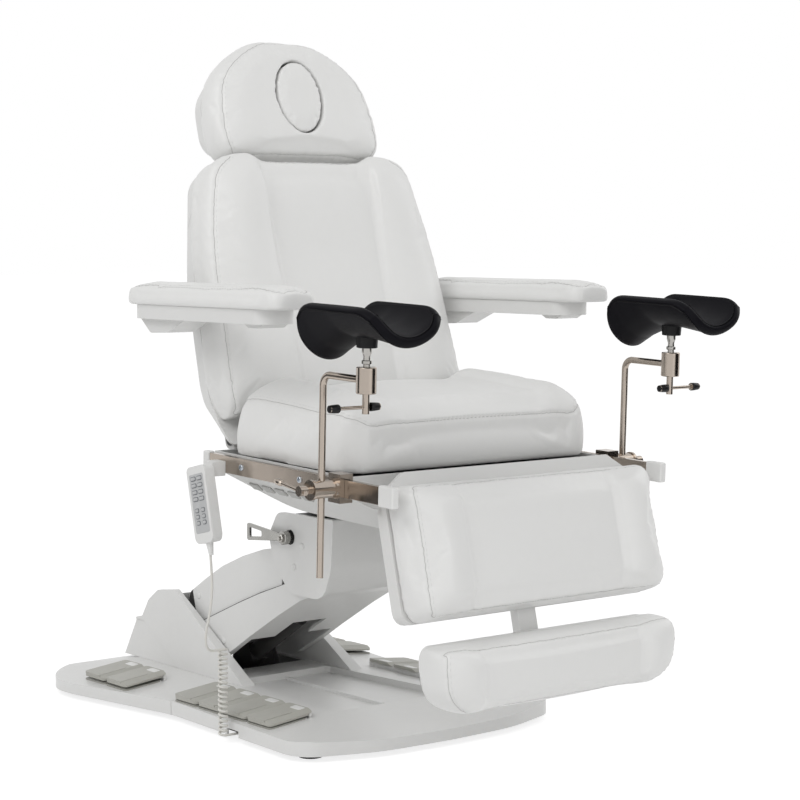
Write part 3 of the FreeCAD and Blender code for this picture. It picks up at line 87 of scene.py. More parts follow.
sky = bpy.data.worlds.new("studio_sky")
scene.world = sky
sky.use_nodes = True
sky_nodes = sky.node_tree.nodes
sky_nodes.clear()
sky_out = sky_nodes.new("ShaderNodeOutputWorld")
sky_mix = sky_nodes.new("ShaderNodeMixShader")
sky_light = sky_nodes.new("ShaderNodeBackground")
sky_light.inputs["Color"].default_value = (1.0, 1.0, 1.0, 1.0)
sky_light.inputs["Strength"].default_value = 0.60
sky_white = sky_nodes.new("ShaderNodeBackground")
sky_white.inputs["Color"].default_value = (1.0, 1.0, 1.0, 1.0)
sky_white.inputs["Strength"].default_value = 1.0
sky.node_tree.links.new(rays_that_see(sky_nodes), sky_mix.inputs[0])
sky.node_tree.links.new(sky_light.outputs[0], sky_mix.inputs[1])
sky.node_tree.links.new(sky_white.outputs[0], sky_mix.inputs[2])
sky.node_tree.links.new(sky_mix.outputs[0], sky_out.inputs["Surface"])

FLOOR_SIZE = 80.0
FLOOR_HIGH = -0.0005
bpy.ops.object.select_all(action="DESELECT")
bpy.ops.mesh.primitive_plane_add(size=FLOOR_SIZE, location=(0.0, 0.0, FLOOR_HIGH))
floor = bpy.context.object
floor.name = "floor"
paper = bpy.data.materials.new("floor_paper")
paper.use_nodes = True
paper_nodes = paper.node_tree.nodes
paper_nodes.clear()
paper_out = paper_nodes.new("ShaderNodeOutputMaterial")
paper_mix = paper_nodes.new("ShaderNodeMixShader")
paper_half = paper_nodes.new("ShaderNodeMath")
paper_half.operation = "MULTIPLY"
paper_half.inputs[1].default_value = 0.55
paper_matt = paper_nodes.new("ShaderNodeBsdfDiffuse")
paper_matt.inputs["Color"].default_value = (0.93, 0.93, 0.93, 1.0)
paper_glow = paper_nodes.new("ShaderNodeEmission")
paper_glow.inputs["Strength"].default_value = 1.45
paper.node_tree.links.new(rays_that_see(paper_nodes), paper_half.inputs[0])
paper.node_tree.links.new(paper_half.outputs[0], paper_mix.inputs[0])
paper.node_tree.links.new(paper_matt.outputs[0], paper_mix.inputs[1])
paper.node_tree.links.new(paper_glow.outputs[0], paper_mix.inputs[2])
paper.node_tree.links.new(paper_mix.outputs[0], paper_out.inputs["Surface"])
floor.data.materials.append(paper)


def soft_lamp(name, place, aim, size, power):
    """A square lamp that hangs at its place and points at its aim."""
    lamp = bpy.data.lights.new(name, "AREA")
    lamp.shape = "SQUARE"
    lamp.size = size
    lamp.energy = power
    holder = bpy.data.objects.new(name, lamp)
    scene.collection.objects.link(holder)
    holder.location = place
    holder.rotation_euler = (Vector(aim) - Vector(place)).to_track_quat("-Z", "Y").to_euler()


soft_lamp("key_lamp", (-3.2, -0.9, 3.5), (0.0, 0.0, 0.6), 2.4, 52.0)
soft_lamp("fill_lamp", (0.4, -4.5, 1.6), (0.0, 0.0, 0.5), 2.2, 22.0)
soft_lamp("far_lamp", (3.0, -0.7, 2.0), (0.0, -0.2, 0.05), 1.6, 12.0)


def black_flag(name, place, aim, wide, tall):
    """A black card that only polished parts see, as a photographer stands beside bright metal."""
    bpy.ops.object.select_all(action="DESELECT")
    bpy.ops.mesh.primitive_plane_add(size=1.0, location=place)
    card = bpy.context.object
    card.name = name
    card.scale = (wide, tall, 1.0)
    card.rotation_euler = (Vector(aim) - Vector(place)).to_track_quat("Z", "Y").to_euler()
    bpy.ops.object.transform_apply(location=True, rotation=True, scale=True)
    card.data.materials.append(flag_black)
    card.visible_camera = False
    card.visible_diffuse = False
    card.visible_transmission = False
    card.visible_shadow = False


flag_black = bpy.data.materials.new("flag_black")
flag_black.use_nodes = True
flag_black.node_tree.nodes["Principled BSDF"].inputs["Base Color"].default_value = (0.01, 0.01, 0.01, 1.0)
flag_black.node_tree.nodes["Principled BSDF"].inputs["Specular IOR Level"].default_value = 0.0
FLAG_AIM = (-0.33, -0.42, 0.55)
FLAG_TALL = 1.5
black_flag("flag_rear_left", (-1.55, 0.75, 0.55), FLAG_AIM, 0.8, FLAG_TALL)
black_flag("flag_front_right", (1.35, -1.75, 0.55), FLAG_AIM, 1.8, FLAG_TALL)

# Camera at the photograph's place: eye height 0.9 m, a little below the headrest, some 4 m off,
# turned 38.8 degrees round the foot end and tipped 4.35 degrees down.
EYE = (-2.438, -3.181, 0.900)
EYE_TURN = math.radians(-38.8)
EYE_TIP = math.radians(4.35)
SENSOR_WIDE = 36.0
LENS_LONG = 97.5
camera = bpy.data.cameras.new("photo_camera")
camera.sensor_width = SENSOR_WIDE
camera.lens = LENS_LONG
camera.dof.use_dof = False
eye = bpy.data.objects.new("photo_camera", camera)
scene.collection.objects.link(eye)
eye.location = EYE
look = Vector((-math.sin(EYE_TURN) * math.cos(EYE_TIP),
               math.cos(EYE_TURN) * math.cos(EYE_TIP), -math.sin(EYE_TIP)))
eye.rotation_euler = look.to_track_quat("-Z", "Y").to_euler()
scene.camera = eye

# Cord of the hand control: pale grey PVC, straight for a hand's length and then wound into a
# spring of 18 turns that hangs beside the base and goes in through the notch in its wall.
CORD_DIAMETER = 0.0045
CORD_TOP = [(-0.345, -0.0461, 0.3635), (-0.345, -0.0495, 0.350), (-0.350, -0.0642, 0.268)]
CORD_TOP += [(-0.356, -0.046, 0.200), (-0.343, -0.0352, 0.170), (-0.318, -0.0348, 0.170)]
CORD_FOOT = [(-0.298, -0.0348, 0.015), (-0.282, -0.03475, 0.015), (-0.268, -0.03475, 0.015)]
CURL_CENTRE = (-0.306, -0.028)
CURL_RADIUS = 0.00715
CURL_TURNS = 18
CURL_HIGH = 0.170
CURL_LOW = 0.015
CURL_STEPS = 14


def surface_group(name, inputs, outputs):
    """A shared group of nodes with its inputs and outputs named."""
    group = bpy.data.node_groups.new(name, "ShaderNodeTree")
    for label, kind, value in inputs:
        socket = group.interface.new_socket(name=label, in_out="INPUT", socket_type=kind)
        socket.default_value = value
    for label, kind in outputs:
        group.interface.new_socket(name=label, in_out="OUTPUT", socket_type=kind)
    return group, group.nodes.new("NodeGroupInput"), group.nodes.new("NodeGroupOutput")


def noise_node(tree, scale, detail, vector=None, rough=0.5):
    """An uneven pattern on the given coordinates."""
    node = tree.nodes.new("ShaderNodeTexNoise")
    node.inputs["Scale"].default_value = scale
    node.inputs["Detail"].default_value = detail
    node.inputs["Roughness"].default_value = rough
    if vector is not None:
        tree.links.new(vector, node.inputs["Vector"])
    return node


def math_node(tree, operation, first, second):
    """A sum or product of two numbers or sockets."""
    node = tree.nodes.new("ShaderNodeMath")
    node.operation = operation
    for slot, value in ((0, first), (1, second)):
        if isinstance(value, (int, float)):
            node.inputs[slot].default_value = value
        else:
            tree.links.new(value, node.inputs[slot])
    return node.outputs[0]


def blend_node(tree, amount, first, second):
    """A colour between two others."""
    node = tree.nodes.new("ShaderNodeMix")
    node.data_type = "RGBA"
    for socket, value in ((node.inputs[0], amount), (node.inputs[6], first), (node.inputs[7], second)):
        if isinstance(value, bpy.types.NodeSocket):
            tree.links.new(value, socket)
        else:
            socket.default_value = value
    return node.outputs[2]


# Handling marks shared by every finish: a broad uneven tone broken up by fine specks.
handling, hand_in, hand_out = surface_group(
    "handling_marks",
    [("Colour", "NodeSocketColor", (0.8, 0.8, 0.8, 1.0)), ("Marked", "NodeSocketColor", (0.7, 0.7, 0.7, 1.0)),
     ("Amount", "NodeSocketFloat", 0.2), ("Gloss", "NodeSocketFloat", 0.4),
     ("Spread", "NodeSocketFloat", 0.1)],
    [("Colour", "NodeSocketColor"), ("Roughness", "NodeSocketFloat")])
hand_place = handling.nodes.new("ShaderNodeTexCoord").outputs["Object"]
hand_broad = noise_node(handling, 6.5, 4.0, hand_place, 0.6).outputs["Fac"]
hand_fine = noise_node(handling, 55.0, 3.0, hand_place, 0.6).outputs["Fac"]
hand_mask = math_node(handling, "MULTIPLY", math_node(handling, "MULTIPLY", hand_broad, hand_fine), 1.9)
hand_mask = math_node(handling, "MULTIPLY", hand_mask, hand_in.outputs["Amount"])
handling.links.new(blend_node(handling, hand_mask, hand_in.outputs["Colour"], hand_in.outputs["Marked"]),
                   hand_out.inputs["Colour"])
hand_gloss = math_node(handling, "SUBTRACT", hand_fine, 0.5)
hand_gloss = math_node(handling, "MULTIPLY", hand_gloss, hand_in.outputs["Spread"])
hand_gloss = math_node(handling, "ADD", hand_in.outputs["Gloss"], hand_gloss)
handling.links.new(hand_gloss, hand_out.inputs["Roughness"])

# Fine skin of a moulded or painted surface: a soft orange peel with a finer spark texture.
skin, skin_in, skin_out = surface_group(
    "moulded_skin", [("Peel", "NodeSocketFloat", 260.0), ("Spark", "NodeSocketFloat", 1500.0)],
    [("Height", "NodeSocketFloat")])
skin_place = skin.nodes.new("ShaderNodeTexCoord").outputs["Object"]
skin_peel = noise_node(skin, 260.0, 2.0, skin_place)
skin.links.new(skin_in.outputs["Peel"], skin_peel.inputs["Scale"])
skin_spark = noise_node(skin, 1500.0, 2.0, skin_place)
skin.links.new(skin_in.outputs["Spark"], skin_spark.inputs["Scale"])
skin_sum = math_node(skin, "ADD", skin_peel.outputs["Fac"],
                     math_node(skin, "MULTIPLY", skin_spark.outputs["Fac"], 0.45))
skin.links.new(skin_sum, skin_out.inputs["Height"])


def finish(name, colour, marked, rough, amount=0.25, spread=0.1, metal=0.0, height=None, depth=0.00005,
           strength=0.35, coat=0.0, sheen=0.0, gleam=0.5):
    """A paint, plastic or metal: even colour with handling marks and a fine raised skin."""
    material = bpy.data.materials.new(name)
    material.use_nodes = True
    tree = material.node_tree
    shader = tree.nodes["Principled BSDF"]
    marks = tree.nodes.new("ShaderNodeGroup")
    marks.node_tree = handling
    marks.inputs["Colour"].default_value = (*colour, 1.0)
    marks.inputs["Marked"].default_value = (*marked, 1.0)
    marks.inputs["Amount"].default_value = amount
    marks.inputs["Gloss"].default_value = rough
    marks.inputs["Spread"].default_value = spread
    tree.links.new(marks.outputs["Colour"], shader.inputs["Base Color"])
    tree.links.new(marks.outputs["Roughness"], shader.inputs["Roughness"])
    shader.inputs["Metallic"].default_value = metal
    shader.inputs["Coat Weight"].default_value = coat
    shader.inputs["Coat Roughness"].default_value = 0.2
    shader.inputs["Sheen Weight"].default_value = sheen
    shader.inputs["Specular IOR Level"].default_value = gleam
    grain = tree.nodes.new("ShaderNodeGroup")
    grain.node_tree = height or skin
    bump = tree.nodes.new("ShaderNodeBump")
    bump.inputs["Distance"].default_value = depth
    bump.inputs["Strength"].default_value = strength
    tree.links.new(grain.outputs["Height"], bump.inputs["Height"])
    tree.links.new(bump.outputs["Normal"], shader.inputs["Normal"])
    return material


def only(piece):
    """Select one piece and nothing else."""
    bpy.ops.object.select_all(action="DESELECT")
    piece.select_set(True)
    bpy.context.view_layer.objects.active = piece


def apply_all(piece):
    """Make a piece's modifiers part of its mesh."""
    only(piece)
    for modifier in list(piece.modifiers):
        bpy.ops.object.modifier_apply(modifier=modifier.name)


cord_pvc = finish("cord_pvc", (0.74, 0.73, 0.69), (0.62, 0.60, 0.55), 0.42, amount=0.3)
cord_line = bpy.data.curves.new("handset_cord_line", "CURVE")
cord_line.dimensions = "3D"
cord_points = list(CORD_TOP)
for i in range(CURL_TURNS * CURL_STEPS + 1):
    turn = -math.pi / 2 + 2 * math.pi * i / CURL_STEPS
    height = CURL_HIGH + (CURL_LOW - CURL_HIGH) * i / (CURL_TURNS * CURL_STEPS)
    cord_points.append((CURL_CENTRE[0] + CURL_RADIUS * math.cos(turn),
                        CURL_CENTRE[1] + CURL_RADIUS * math.sin(turn), height))
cord_points += CORD_FOOT
cord_spline = cord_line.splines.new("NURBS")
cord_spline.points.add(len(cord_points) - 1)
for point, place in zip(cord_spline.points, cord_points):
    point.co = (*place, 1.0)
cord_spline.order_u = 3
cord_spline.use_endpoint_u = True
cord_spline.resolution_u = 4
cord = bpy.data.objects.new("handset_cord_lead", cord_line)
scene.collection.objects.link(cord)
bpy.context.view_layer.update()
bare_line = bpy.data.meshes.new_from_object(cord.evaluated_get(bpy.context.evaluated_depsgraph_get()))
bpy.data.meshes.remove(bare_line)
cord_line.bevel_depth = CORD_DIAMETER / 2
cord_line.bevel_resolution = 3
cord_line.use_fill_caps = True
only(cord)
bpy.ops.object.convert(target="MESH")
cord = bpy.context.object
bpy.ops.object.shade_smooth()
cord.data.materials.clear()
cord.data.materials.append(cord_pvc)
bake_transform(cord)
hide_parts("handset_cord", "handset_cord_curls")

# Base cover: one white shell, formed in two halves that meet at the waist, over the steel floor
# frame. A sunk tray with a raised rib lies in front of the lifting arm.
PAINT_WHITE = (0.775, 0.775, 0.765)
PAINT_MARK = (0.66, 0.655, 0.635)
WAIST_JOINT = 0.182
WAIST_GAP = 0.0013
WAIST_LOW = (0.236, WAIST_JOINT, 0.006)
WAIST_HIGH = (0.345, WAIST_JOINT + WAIST_GAP, 0.047)


def traced(node, name, whole=True):
    """A fresh piece with the shape of a solid, its triangles joined into whole faces."""
    piece = bpy.data.objects.new(name, frame["nodes"][node].data.copy())
    scene.collection.objects.link(piece)
    piece.data.materials.clear()
    only(piece)
    bpy.ops.mesh.customdata_custom_splitnormals_clear()
    bpy.ops.object.mode_set(mode="EDIT")
    bpy.ops.mesh.select_all(action="SELECT")
    bpy.ops.mesh.remove_doubles(threshold=0.00002)
    bpy.ops.mesh.normals_make_consistent(inside=False)
    if whole:
        bpy.ops.mesh.dissolve_limited(angle_limit=math.radians(1.0))
    bpy.ops.object.mode_set(mode="OBJECT")
    return piece


def settle(piece, material, body, slot, *nodes):
    """Finish a piece: its material, the body it moves with and the solids it stands for."""
    piece.data.materials.clear()
    piece.data.materials.append(material)
    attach(piece, body)
    if nodes:
        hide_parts(*nodes)


def break_edges(piece, radius, steps=3, angle=32.0):
    """Round every edge sharper than the angle."""
    bevel = piece.modifiers.new("edges", "BEVEL")
    bevel.width = radius
    bevel.segments = steps
    bevel.limit_method = "ANGLE"
    bevel.angle_limit = math.radians(angle)
    bevel.use_clamp_overlap = True
    bevel.miter_outer = "MITER_ARC"
    apply_all(piece)
    return evened(piece)


def evened(piece, angle=40.0):
    """Smooth shading that keeps broad flat faces flat."""
    only(piece)
    bpy.ops.object.shade_smooth_by_angle(angle=math.radians(angle))
    flat = piece.modifiers.new("flat_faces", "WEIGHTED_NORMAL")
    flat.keep_sharp = True
    apply_all(piece)
    return piece


def rounded(node, name, radius, steps=3, angle=32.0):
    """The solid with its sharp edges broken, as a moulding or casting has them."""
    return break_edges(traced(node, name), radius, steps, angle)


def block(name, low, high):
    """A plain block between two corners, to be shaped further."""
    bpy.ops.object.select_all(action="DESELECT")
    middle = [(a + b) / 2 for a, b in zip(low, high)]
    bpy.ops.mesh.primitive_cube_add(size=1.0, location=middle, scale=[b - a for a, b in zip(low, high)])
    piece = bpy.context.object
    piece.name = name
    bpy.ops.object.transform_apply(location=True, rotation=True, scale=True)
    return piece


def carve(piece, *cutters):
    """Cut the cutters out of a piece and clear them away."""
    for cutter in cutters:
        cut = piece.modifiers.new("carve", "BOOLEAN")
        cut.operation = "DIFFERENCE"
        cut.solver = "EXACT"
        cut.object = cutter
        apply_all(piece)
        bpy.data.objects.remove(cutter)


cover_paint = finish("cover_paint", PAINT_WHITE, PAINT_MARK, 0.38, amount=0.22, coat=0.12)
base_cover = traced("base_cover", "base_shell", whole=False)
carve(base_cover, block("slit", WAIST_LOW, WAIST_HIGH),
      block("slit", (-WAIST_HIGH[0], *WAIST_LOW[1:]), (-WAIST_LOW[0], *WAIST_HIGH[1:])))
evened(base_cover)
settle(base_cover, cover_paint, "base", "cover", "base_cover")

# Rear housing: white moulding that stands on the base round the foot of the lifting arm, with a
# sloping open front where the arm comes out.
rear_housing = rounded("rear_housing", "arm_housing", 0.0030)
settle(rear_housing, cover_paint, "base", "cover", "rear_housing")

# Levelling feet: four pucks of black moulded rubber, screwed from below into the corners of the
# floor frame.
rubber = finish("foot_rubber", (0.016, 0.016, 0.017), (0.06, 0.058, 0.055), 0.7, amount=0.4, gleam=0.3)
feet = rounded("feet", "rubber_feet", 0.0015)
settle(feet, rubber, "base", "foot", "feet")

# Steelwork inside: floor plate, pivot stand, arm rails, link bars, drive, head bracket and seat
# frame, welded mild steel in dark powder paint, seen only in the gaps.
dark_steel = finish("frame_powder_paint", (0.03, 0.03, 0.031), (0.085, 0.08, 0.075), 0.5, amount=0.4,
                    gleam=0.35)
pale_steel = finish("back_frame_paint", (0.50, 0.50, 0.49), (0.40, 0.395, 0.38), 0.45, amount=0.3)
bright_steel = finish("rod_steel", (0.42, 0.41, 0.39), (0.30, 0.285, 0.265), 0.2, amount=0.3,
                      metal=1.0)


def dress(node, material):
    """Paint a solid that is shown as it is."""
    piece = frame["nodes"][node]
    if not piece.material_slots:
        piece.data.materials.append(material)
    for holder in piece.material_slots:
        holder.material = material


for node in ("base_frame", "main_arm", "link_arm", "lift_motor", "head_bracket", "turntable", "seat_frame"):
    dress(node, dark_steel)
dress("back_frame", pale_steel)
for node in ("lift_rod", "head_rods"):
    dress(node, bright_steel)

# Pedals: twelve grey plastic treadles rocking on ribs of the base over fixed bed plates, each with
# one side sloped off, a line moulded beside it and a white pad at the inner end.
SIDES = (("left", 1.0), ("right", -1.0))
PEDAL_LONG = 0.095
PEDAL_HALF = 0.0365
PEDAL_CAP = 0.0090
PEDAL_CORNER = 0.007
PEDAL_EDGE = 0.0011
PEDAL_TILT = math.radians(6.5)
PEDAL_SLOPE = math.radians(22.3)
PEDAL_SLOPE_WIDE = 0.014
PEDAL_RIB_LONG = 0.0105
PEDAL_RIB_DEEP = 0.0032
PEDAL_LINE_START = 0.034
PEDAL_LINE_SIDES = (0.0150, 0.0172)
PEDAL_LINE_DEEP = 0.0030
PEDAL_CLEAR = 0.002
PEDAL_MARK_LOW = (0.004, -0.020, -0.0006)
PEDAL_MARK_HIGH = (0.019, 0.010, 0.0006)
PEDAL_HIGH = 0.0615
PEDAL_STEP = 0.078
PEDAL_ROWS = [(0.182, -0.131, 4), (0.203, 0.313, 2)]
BED_FALL = 0.105
BED_TOP = 0.050
BED_TOP_AT = 0.150
BED_INSET = 0.0006
BED_START = 0.0115
BED_THICK = (-0.001, 0.0026)
pedal_plastic = finish("pedal_plastic", (0.47, 0.465, 0.425), (0.35, 0.345, 0.31), 0.5, amount=0.4,
                       depth=0.00012, strength=0.5)
pedal_white = finish("pedal_pad_white", (0.84, 0.84, 0.83), (0.74, 0.735, 0.72), 0.4, amount=0.25)
pedal_under = finish("pedal_bed_plastic", (0.36, 0.355, 0.325), (0.26, 0.255, 0.23), 0.55, amount=0.4)


def corner_edges(piece, radius, along=2):
    """Round the corners of a block on its edges along one axis, upright if not told otherwise."""
    only(piece)
    bpy.ops.object.mode_set(mode="EDIT")
    bpy.ops.mesh.select_mode(type="EDGE")
    bpy.ops.mesh.select_all(action="DESELECT")
    bpy.ops.object.mode_set(mode="OBJECT")
    for edge in piece.data.edges:
        a, b = (piece.data.vertices[i].co for i in edge.vertices)
        edge.select = all(abs(a[k] - b[k]) < 1e-6 for k in range(3) if k != along)
    bpy.ops.object.mode_set(mode="EDIT")
    bpy.ops.mesh.bevel(offset=radius, segments=4, affect="EDGES")
    bpy.ops.mesh.select_mode(type="VERT")
    bpy.ops.object.mode_set(mode="OBJECT")
    return piece


def join(name, *pieces):
    """Put pieces together as one."""
    bpy.ops.object.select_all(action="DESELECT")
    for piece in pieces:
        piece.select_set(True)
    bpy.context.view_layer.objects.active = pieces[0]
    bpy.ops.object.join()
    pieces[0].name = name
    return pieces[0]


def copied(model, name, place, sense):
    """A copy with a mesh of its own, set in its place on the left or mirrored to the right."""
    piece = bpy.data.objects.new(name, model.data.copy())
    scene.collection.objects.link(piece)
    piece.data.transform(Matrix.Diagonal((sense, 1.0, 1.0, 1.0)) @ place)
    if sense < 0:
        piece.data.flip_normals()
    return piece


cap = block("pedal_cap", (0.0, -PEDAL_HALF, -PEDAL_CAP), (PEDAL_LONG, PEDAL_HALF, 0.0))
corner_edges(cap, PEDAL_CORNER)
slope_cut = block("slope_cut", (-0.010, -0.060, 0.0), (PEDAL_LONG + 0.010, 0.060, 0.030))
slope_cut.data.transform(Matrix.Translation((0.0, -PEDAL_HALF + PEDAL_SLOPE_WIDE, 0.0))
                         @ Matrix.Rotation(PEDAL_SLOPE, 4, "X"))
carve(cap, slope_cut)
carve(cap, block("rib_room", (-0.001, -PEDAL_HALF - PEDAL_CLEAR, -PEDAL_CAP - 0.001),
                 (PEDAL_RIB_LONG, PEDAL_HALF + PEDAL_CLEAR, -PEDAL_CAP + PEDAL_RIB_DEEP)))
break_edges(cap, PEDAL_EDGE, 3, 25.0)
line_from, line_to = (-PEDAL_HALF + y for y in PEDAL_LINE_SIDES)
carve(cap, block("line", (PEDAL_LINE_START, line_from, -PEDAL_LINE_DEEP),
                 (PEDAL_LONG + PEDAL_CLEAR, line_to, PEDAL_CLEAR)))
evened(cap, 16.0)
cap.data.materials.append(pedal_plastic)
mark = block("pedal_mark", PEDAL_MARK_LOW, PEDAL_MARK_HIGH)
corner_edges(mark, 0.004)
break_edges(mark, 0.0003, 2)
mark.data.materials.append(pedal_white)
pedal_model = join("pedal_model", cap, mark)
bed_model = block("bed_model", (BED_START, -PEDAL_HALF + BED_INSET, BED_THICK[0]),
                  (PEDAL_LONG - BED_INSET, PEDAL_HALF - BED_INSET, BED_THICK[1]))
corner_edges(bed_model, 0.006)
break_edges(bed_model, 0.0006, 2)
bed_turn = Matrix.Rotation(math.atan(BED_FALL), 4, "Y")
for side, sense in SIDES:
    number = 0
    for inner, start, count in PEDAL_ROWS:
        for i in range(count):
            number += 1
            node = "pedal_%s_%d" % (side, number)
            middle = start + (i + 0.5) * PEDAL_STEP
            place = Matrix.Translation((inner, middle, PEDAL_HIGH)) @ Matrix.Rotation(PEDAL_TILT, 4, "Y")
            pedal = copied(pedal_model, "treadle_%s_%d" % (side, number), place, sense)
            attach(pedal, node)
            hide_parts(node)
            bed_high = BED_TOP - BED_FALL * (inner - BED_TOP_AT)
            place = Matrix.Translation((inner, middle, bed_high)) @ bed_turn
            bed = copied(bed_model, "pedal_bed_%s_%d" % (side, number), place, sense)
            settle(bed, pedal_under, "base", "pedal")
bpy.data.objects.remove(pedal_model)
bpy.data.objects.remove(bed_model)

# Arm covers: two white shells, the lower one on posts of the lifting arm and the upper one on
# posts of the link, each held by screws under round press-in caps.
lower_cover = rounded("arm_lower_cover", "arm_shell_lower", 0.0030)
settle(lower_cover, cover_paint, "main_arm", "cover", "arm_lower_cover")
upper_cover = rounded("arm_upper_cover", "arm_shell_upper", 0.0030)
settle(upper_cover, cover_paint, "link_arm", "cover", "arm_upper_cover")


def turned(name, profile, place, axis, sides=32):
    """A round piece: a disc at its base, drawn out step by step to each height and radius, then
    laid along its axis at its place."""
    bpy.ops.object.select_all(action="DESELECT")
    height, radius = profile[0]
    bpy.ops.mesh.primitive_circle_add(vertices=sides, radius=radius, fill_type="NGON",
                                      location=(0.0, 0.0, height))
    piece = bpy.context.object
    piece.name = name
    bpy.ops.object.transform_apply(location=True, rotation=True, scale=True)
    bpy.ops.object.mode_set(mode="EDIT")
    bpy.ops.mesh.select_all(action="SELECT")
    for next_height, next_radius in profile[1:]:
        bpy.ops.mesh.extrude_region_move(TRANSFORM_OT_translate={"value": (0.0, 0.0, next_height - height)})
        share = next_radius / radius
        bpy.ops.transform.resize(value=(share, share, 1.0), center_override=(0.0, 0.0, next_height))
        height, radius = next_height, next_radius
    bpy.ops.mesh.select_all(action="SELECT")
    bpy.ops.mesh.normals_make_consistent(inside=False)
    bpy.ops.object.mode_set(mode="OBJECT")
    turn = Vector((0.0, 0.0, 1.0)).rotation_difference(Vector(axis)).to_matrix().to_4x4()
    piece.data.transform(Matrix.Translation(place) @ turn)
    bpy.ops.object.shade_smooth_by_angle(angle=math.radians(35.0))
    return piece


def bead(name, points, radius, closed):
    """A thin round line through the points, used for the lines of painted shade along the arm covers' joint
    and the cushion seams.
    """
    curve = bpy.data.curves.new(name, "CURVE")
    curve.dimensions = "3D"
    curve.bevel_depth = radius
    curve.bevel_resolution = 1
    curve.use_fill_caps = not closed
    spline = curve.splines.new("POLY")
    spline.points.add(len(points) - 1)
    for point, spot in zip(spline.points, points):
        point.co = (*spot, 1.0)
    spline.use_cyclic_u = closed
    line = bpy.data.objects.new(name, curve)
    scene.collection.objects.link(line)
    only(line)
    bpy.ops.object.convert(target="MESH")
    line = bpy.context.object
    line.name = name
    bpy.ops.object.shade_smooth()
    return line


# Painted shade along the joint of the arm covers: a thin bead of black rubber on the lower cover's top edge
# stands for the dark gap there.
GAP_SHADE_LINE = [(0.349, 0.1400), (0.281, 0.1683), (0.202, 0.2013), (0.135, 0.2273), (0.055, 0.2543),
             (0.020, 0.2665)]
GAP_SHADE_SIDE = 0.1086
GAP_SHADE_RADIUS = 0.0015
for side, sense in SIDES:
    gap_shade_points = [(sense * GAP_SHADE_SIDE, y, z) for y, z in GAP_SHADE_LINE]
    gap_shade_bead = bead("arm_gap_shade_" + side, gap_shade_points, GAP_SHADE_RADIUS, False)
    settle(gap_shade_bead, rubber, "main_arm", "cover")
CAP_PROFILE = [(-0.001, 0.0066), (0.0008, 0.0066), (0.0016, 0.0060), (0.0022, 0.0045), (0.0025, 0.0022),
               (0.0026, 0.0005)]
ARM_CAPS = [("upper", "link_arm", (0.1035, 0.352, 0.194)), ("lower", "main_arm", (0.1105, 0.256, 0.119))]
for side, sense in SIDES:
    for level, body, (x, y, z) in ARM_CAPS:
        spot = (sense * x, y, z)
        screw_cap = turned("%s_shell_cap_%s" % (level, side), CAP_PROFILE, spot, (sense, 0.0, 0.0))
        settle(screw_cap, cover_paint, body, "cover")

# Head shroud: white moulding round the top of the lifting arm, screwed to the head bracket under
# round press-in caps and open behind for the arm's travel.
SHROUD_HALF = 0.122
SHROUD_EDGE = 0.0042
SHROUD_CAPS = [(-0.015, 0.334), (0.010, 0.293)]
CAP_ROOM_OUT = 0.140
CAP_ROOM_Y = (-0.100, 0.080)
CAP_ROOM_Z = (0.260, 0.360)
CAP_ROOM_GAP = 0.00005
shroud = traced("head_shroud", "head_moulding")
for sense in (1.0, -1.0):
    near, far = sorted((sense * (SHROUD_HALF - CAP_ROOM_GAP), sense * CAP_ROOM_OUT))
    carve(shroud, block("cap_room", (near, CAP_ROOM_Y[0], CAP_ROOM_Z[0]),
                        (far, CAP_ROOM_Y[1], CAP_ROOM_Z[1])))
break_edges(shroud, SHROUD_EDGE)
settle(shroud, cover_paint, "seat", "cover", "head_shroud")
for side, sense in SIDES:
    for number, (y, z) in enumerate(SHROUD_CAPS):
        spot = (sense * SHROUD_HALF, y, z)
        screw_cap = turned("shroud_cap_%s_%d" % (side, number), CAP_PROFILE, spot, (sense, 0.0, 0.0))
        settle(screw_cap, cover_paint, "seat", "cover")

# Lock lever: die-cast handle with an open grip on a short shaft, held by a hexagon nut and a
# black collar in the shroud's hole.
LEVER_AT = (0.022, 0.347)
LEVER_X = -0.134
LEVER_HUB = [(0.0, 0.0060), (0.030, 0.0060), (0.0305, 0.0100), (0.0345, 0.0125), (0.0445, 0.0125),
             (0.0460, 0.0110)]
LEVER_HUB_X = -0.095
LEVER_NUT = [(0.0, 0.0085), (0.0045, 0.0085), (0.0055, 0.0074), (0.0056, 0.0045), (0.0085, 0.0045),
             (0.0092, 0.0036)]
LEVER_NUT_X = -0.1405
LEVER_COLLAR = [(0.0, 0.0128), (0.004, 0.0128), (0.005, 0.0118), (0.0051, 0.0075)]
LEVER_COLLAR_X = -0.1135
OUTWARD = (-1.0, 0.0, 0.0)
cast_alloy = finish("cast_alloy", (0.40, 0.395, 0.375), (0.24, 0.235, 0.225), 0.28, amount=0.4, metal=0.9)


def wedge(name, start, end, thick, near, far):
    """A flat bar behind the lever's shaft whose height grows from near to far."""
    y, z = LEVER_AT
    piece = block(name, (LEVER_X - thick / 2, y + start, z - near), (LEVER_X + thick / 2, y + end, z + near))
    bpy.ops.object.mode_set(mode="EDIT")
    bpy.ops.mesh.select_all(action="DESELECT")
    bpy.ops.object.mode_set(mode="OBJECT")
    for vert in piece.data.vertices:
        vert.select = vert.co.y > y + (start + end) / 2
    bpy.ops.object.mode_set(mode="EDIT")
    bpy.ops.mesh.select_mode(type="VERT")
    bpy.ops.transform.resize(value=(1.0, 1.0, far / near), center_override=(LEVER_X, y + end, z))
    bpy.ops.object.mode_set(mode="OBJECT")
    return piece


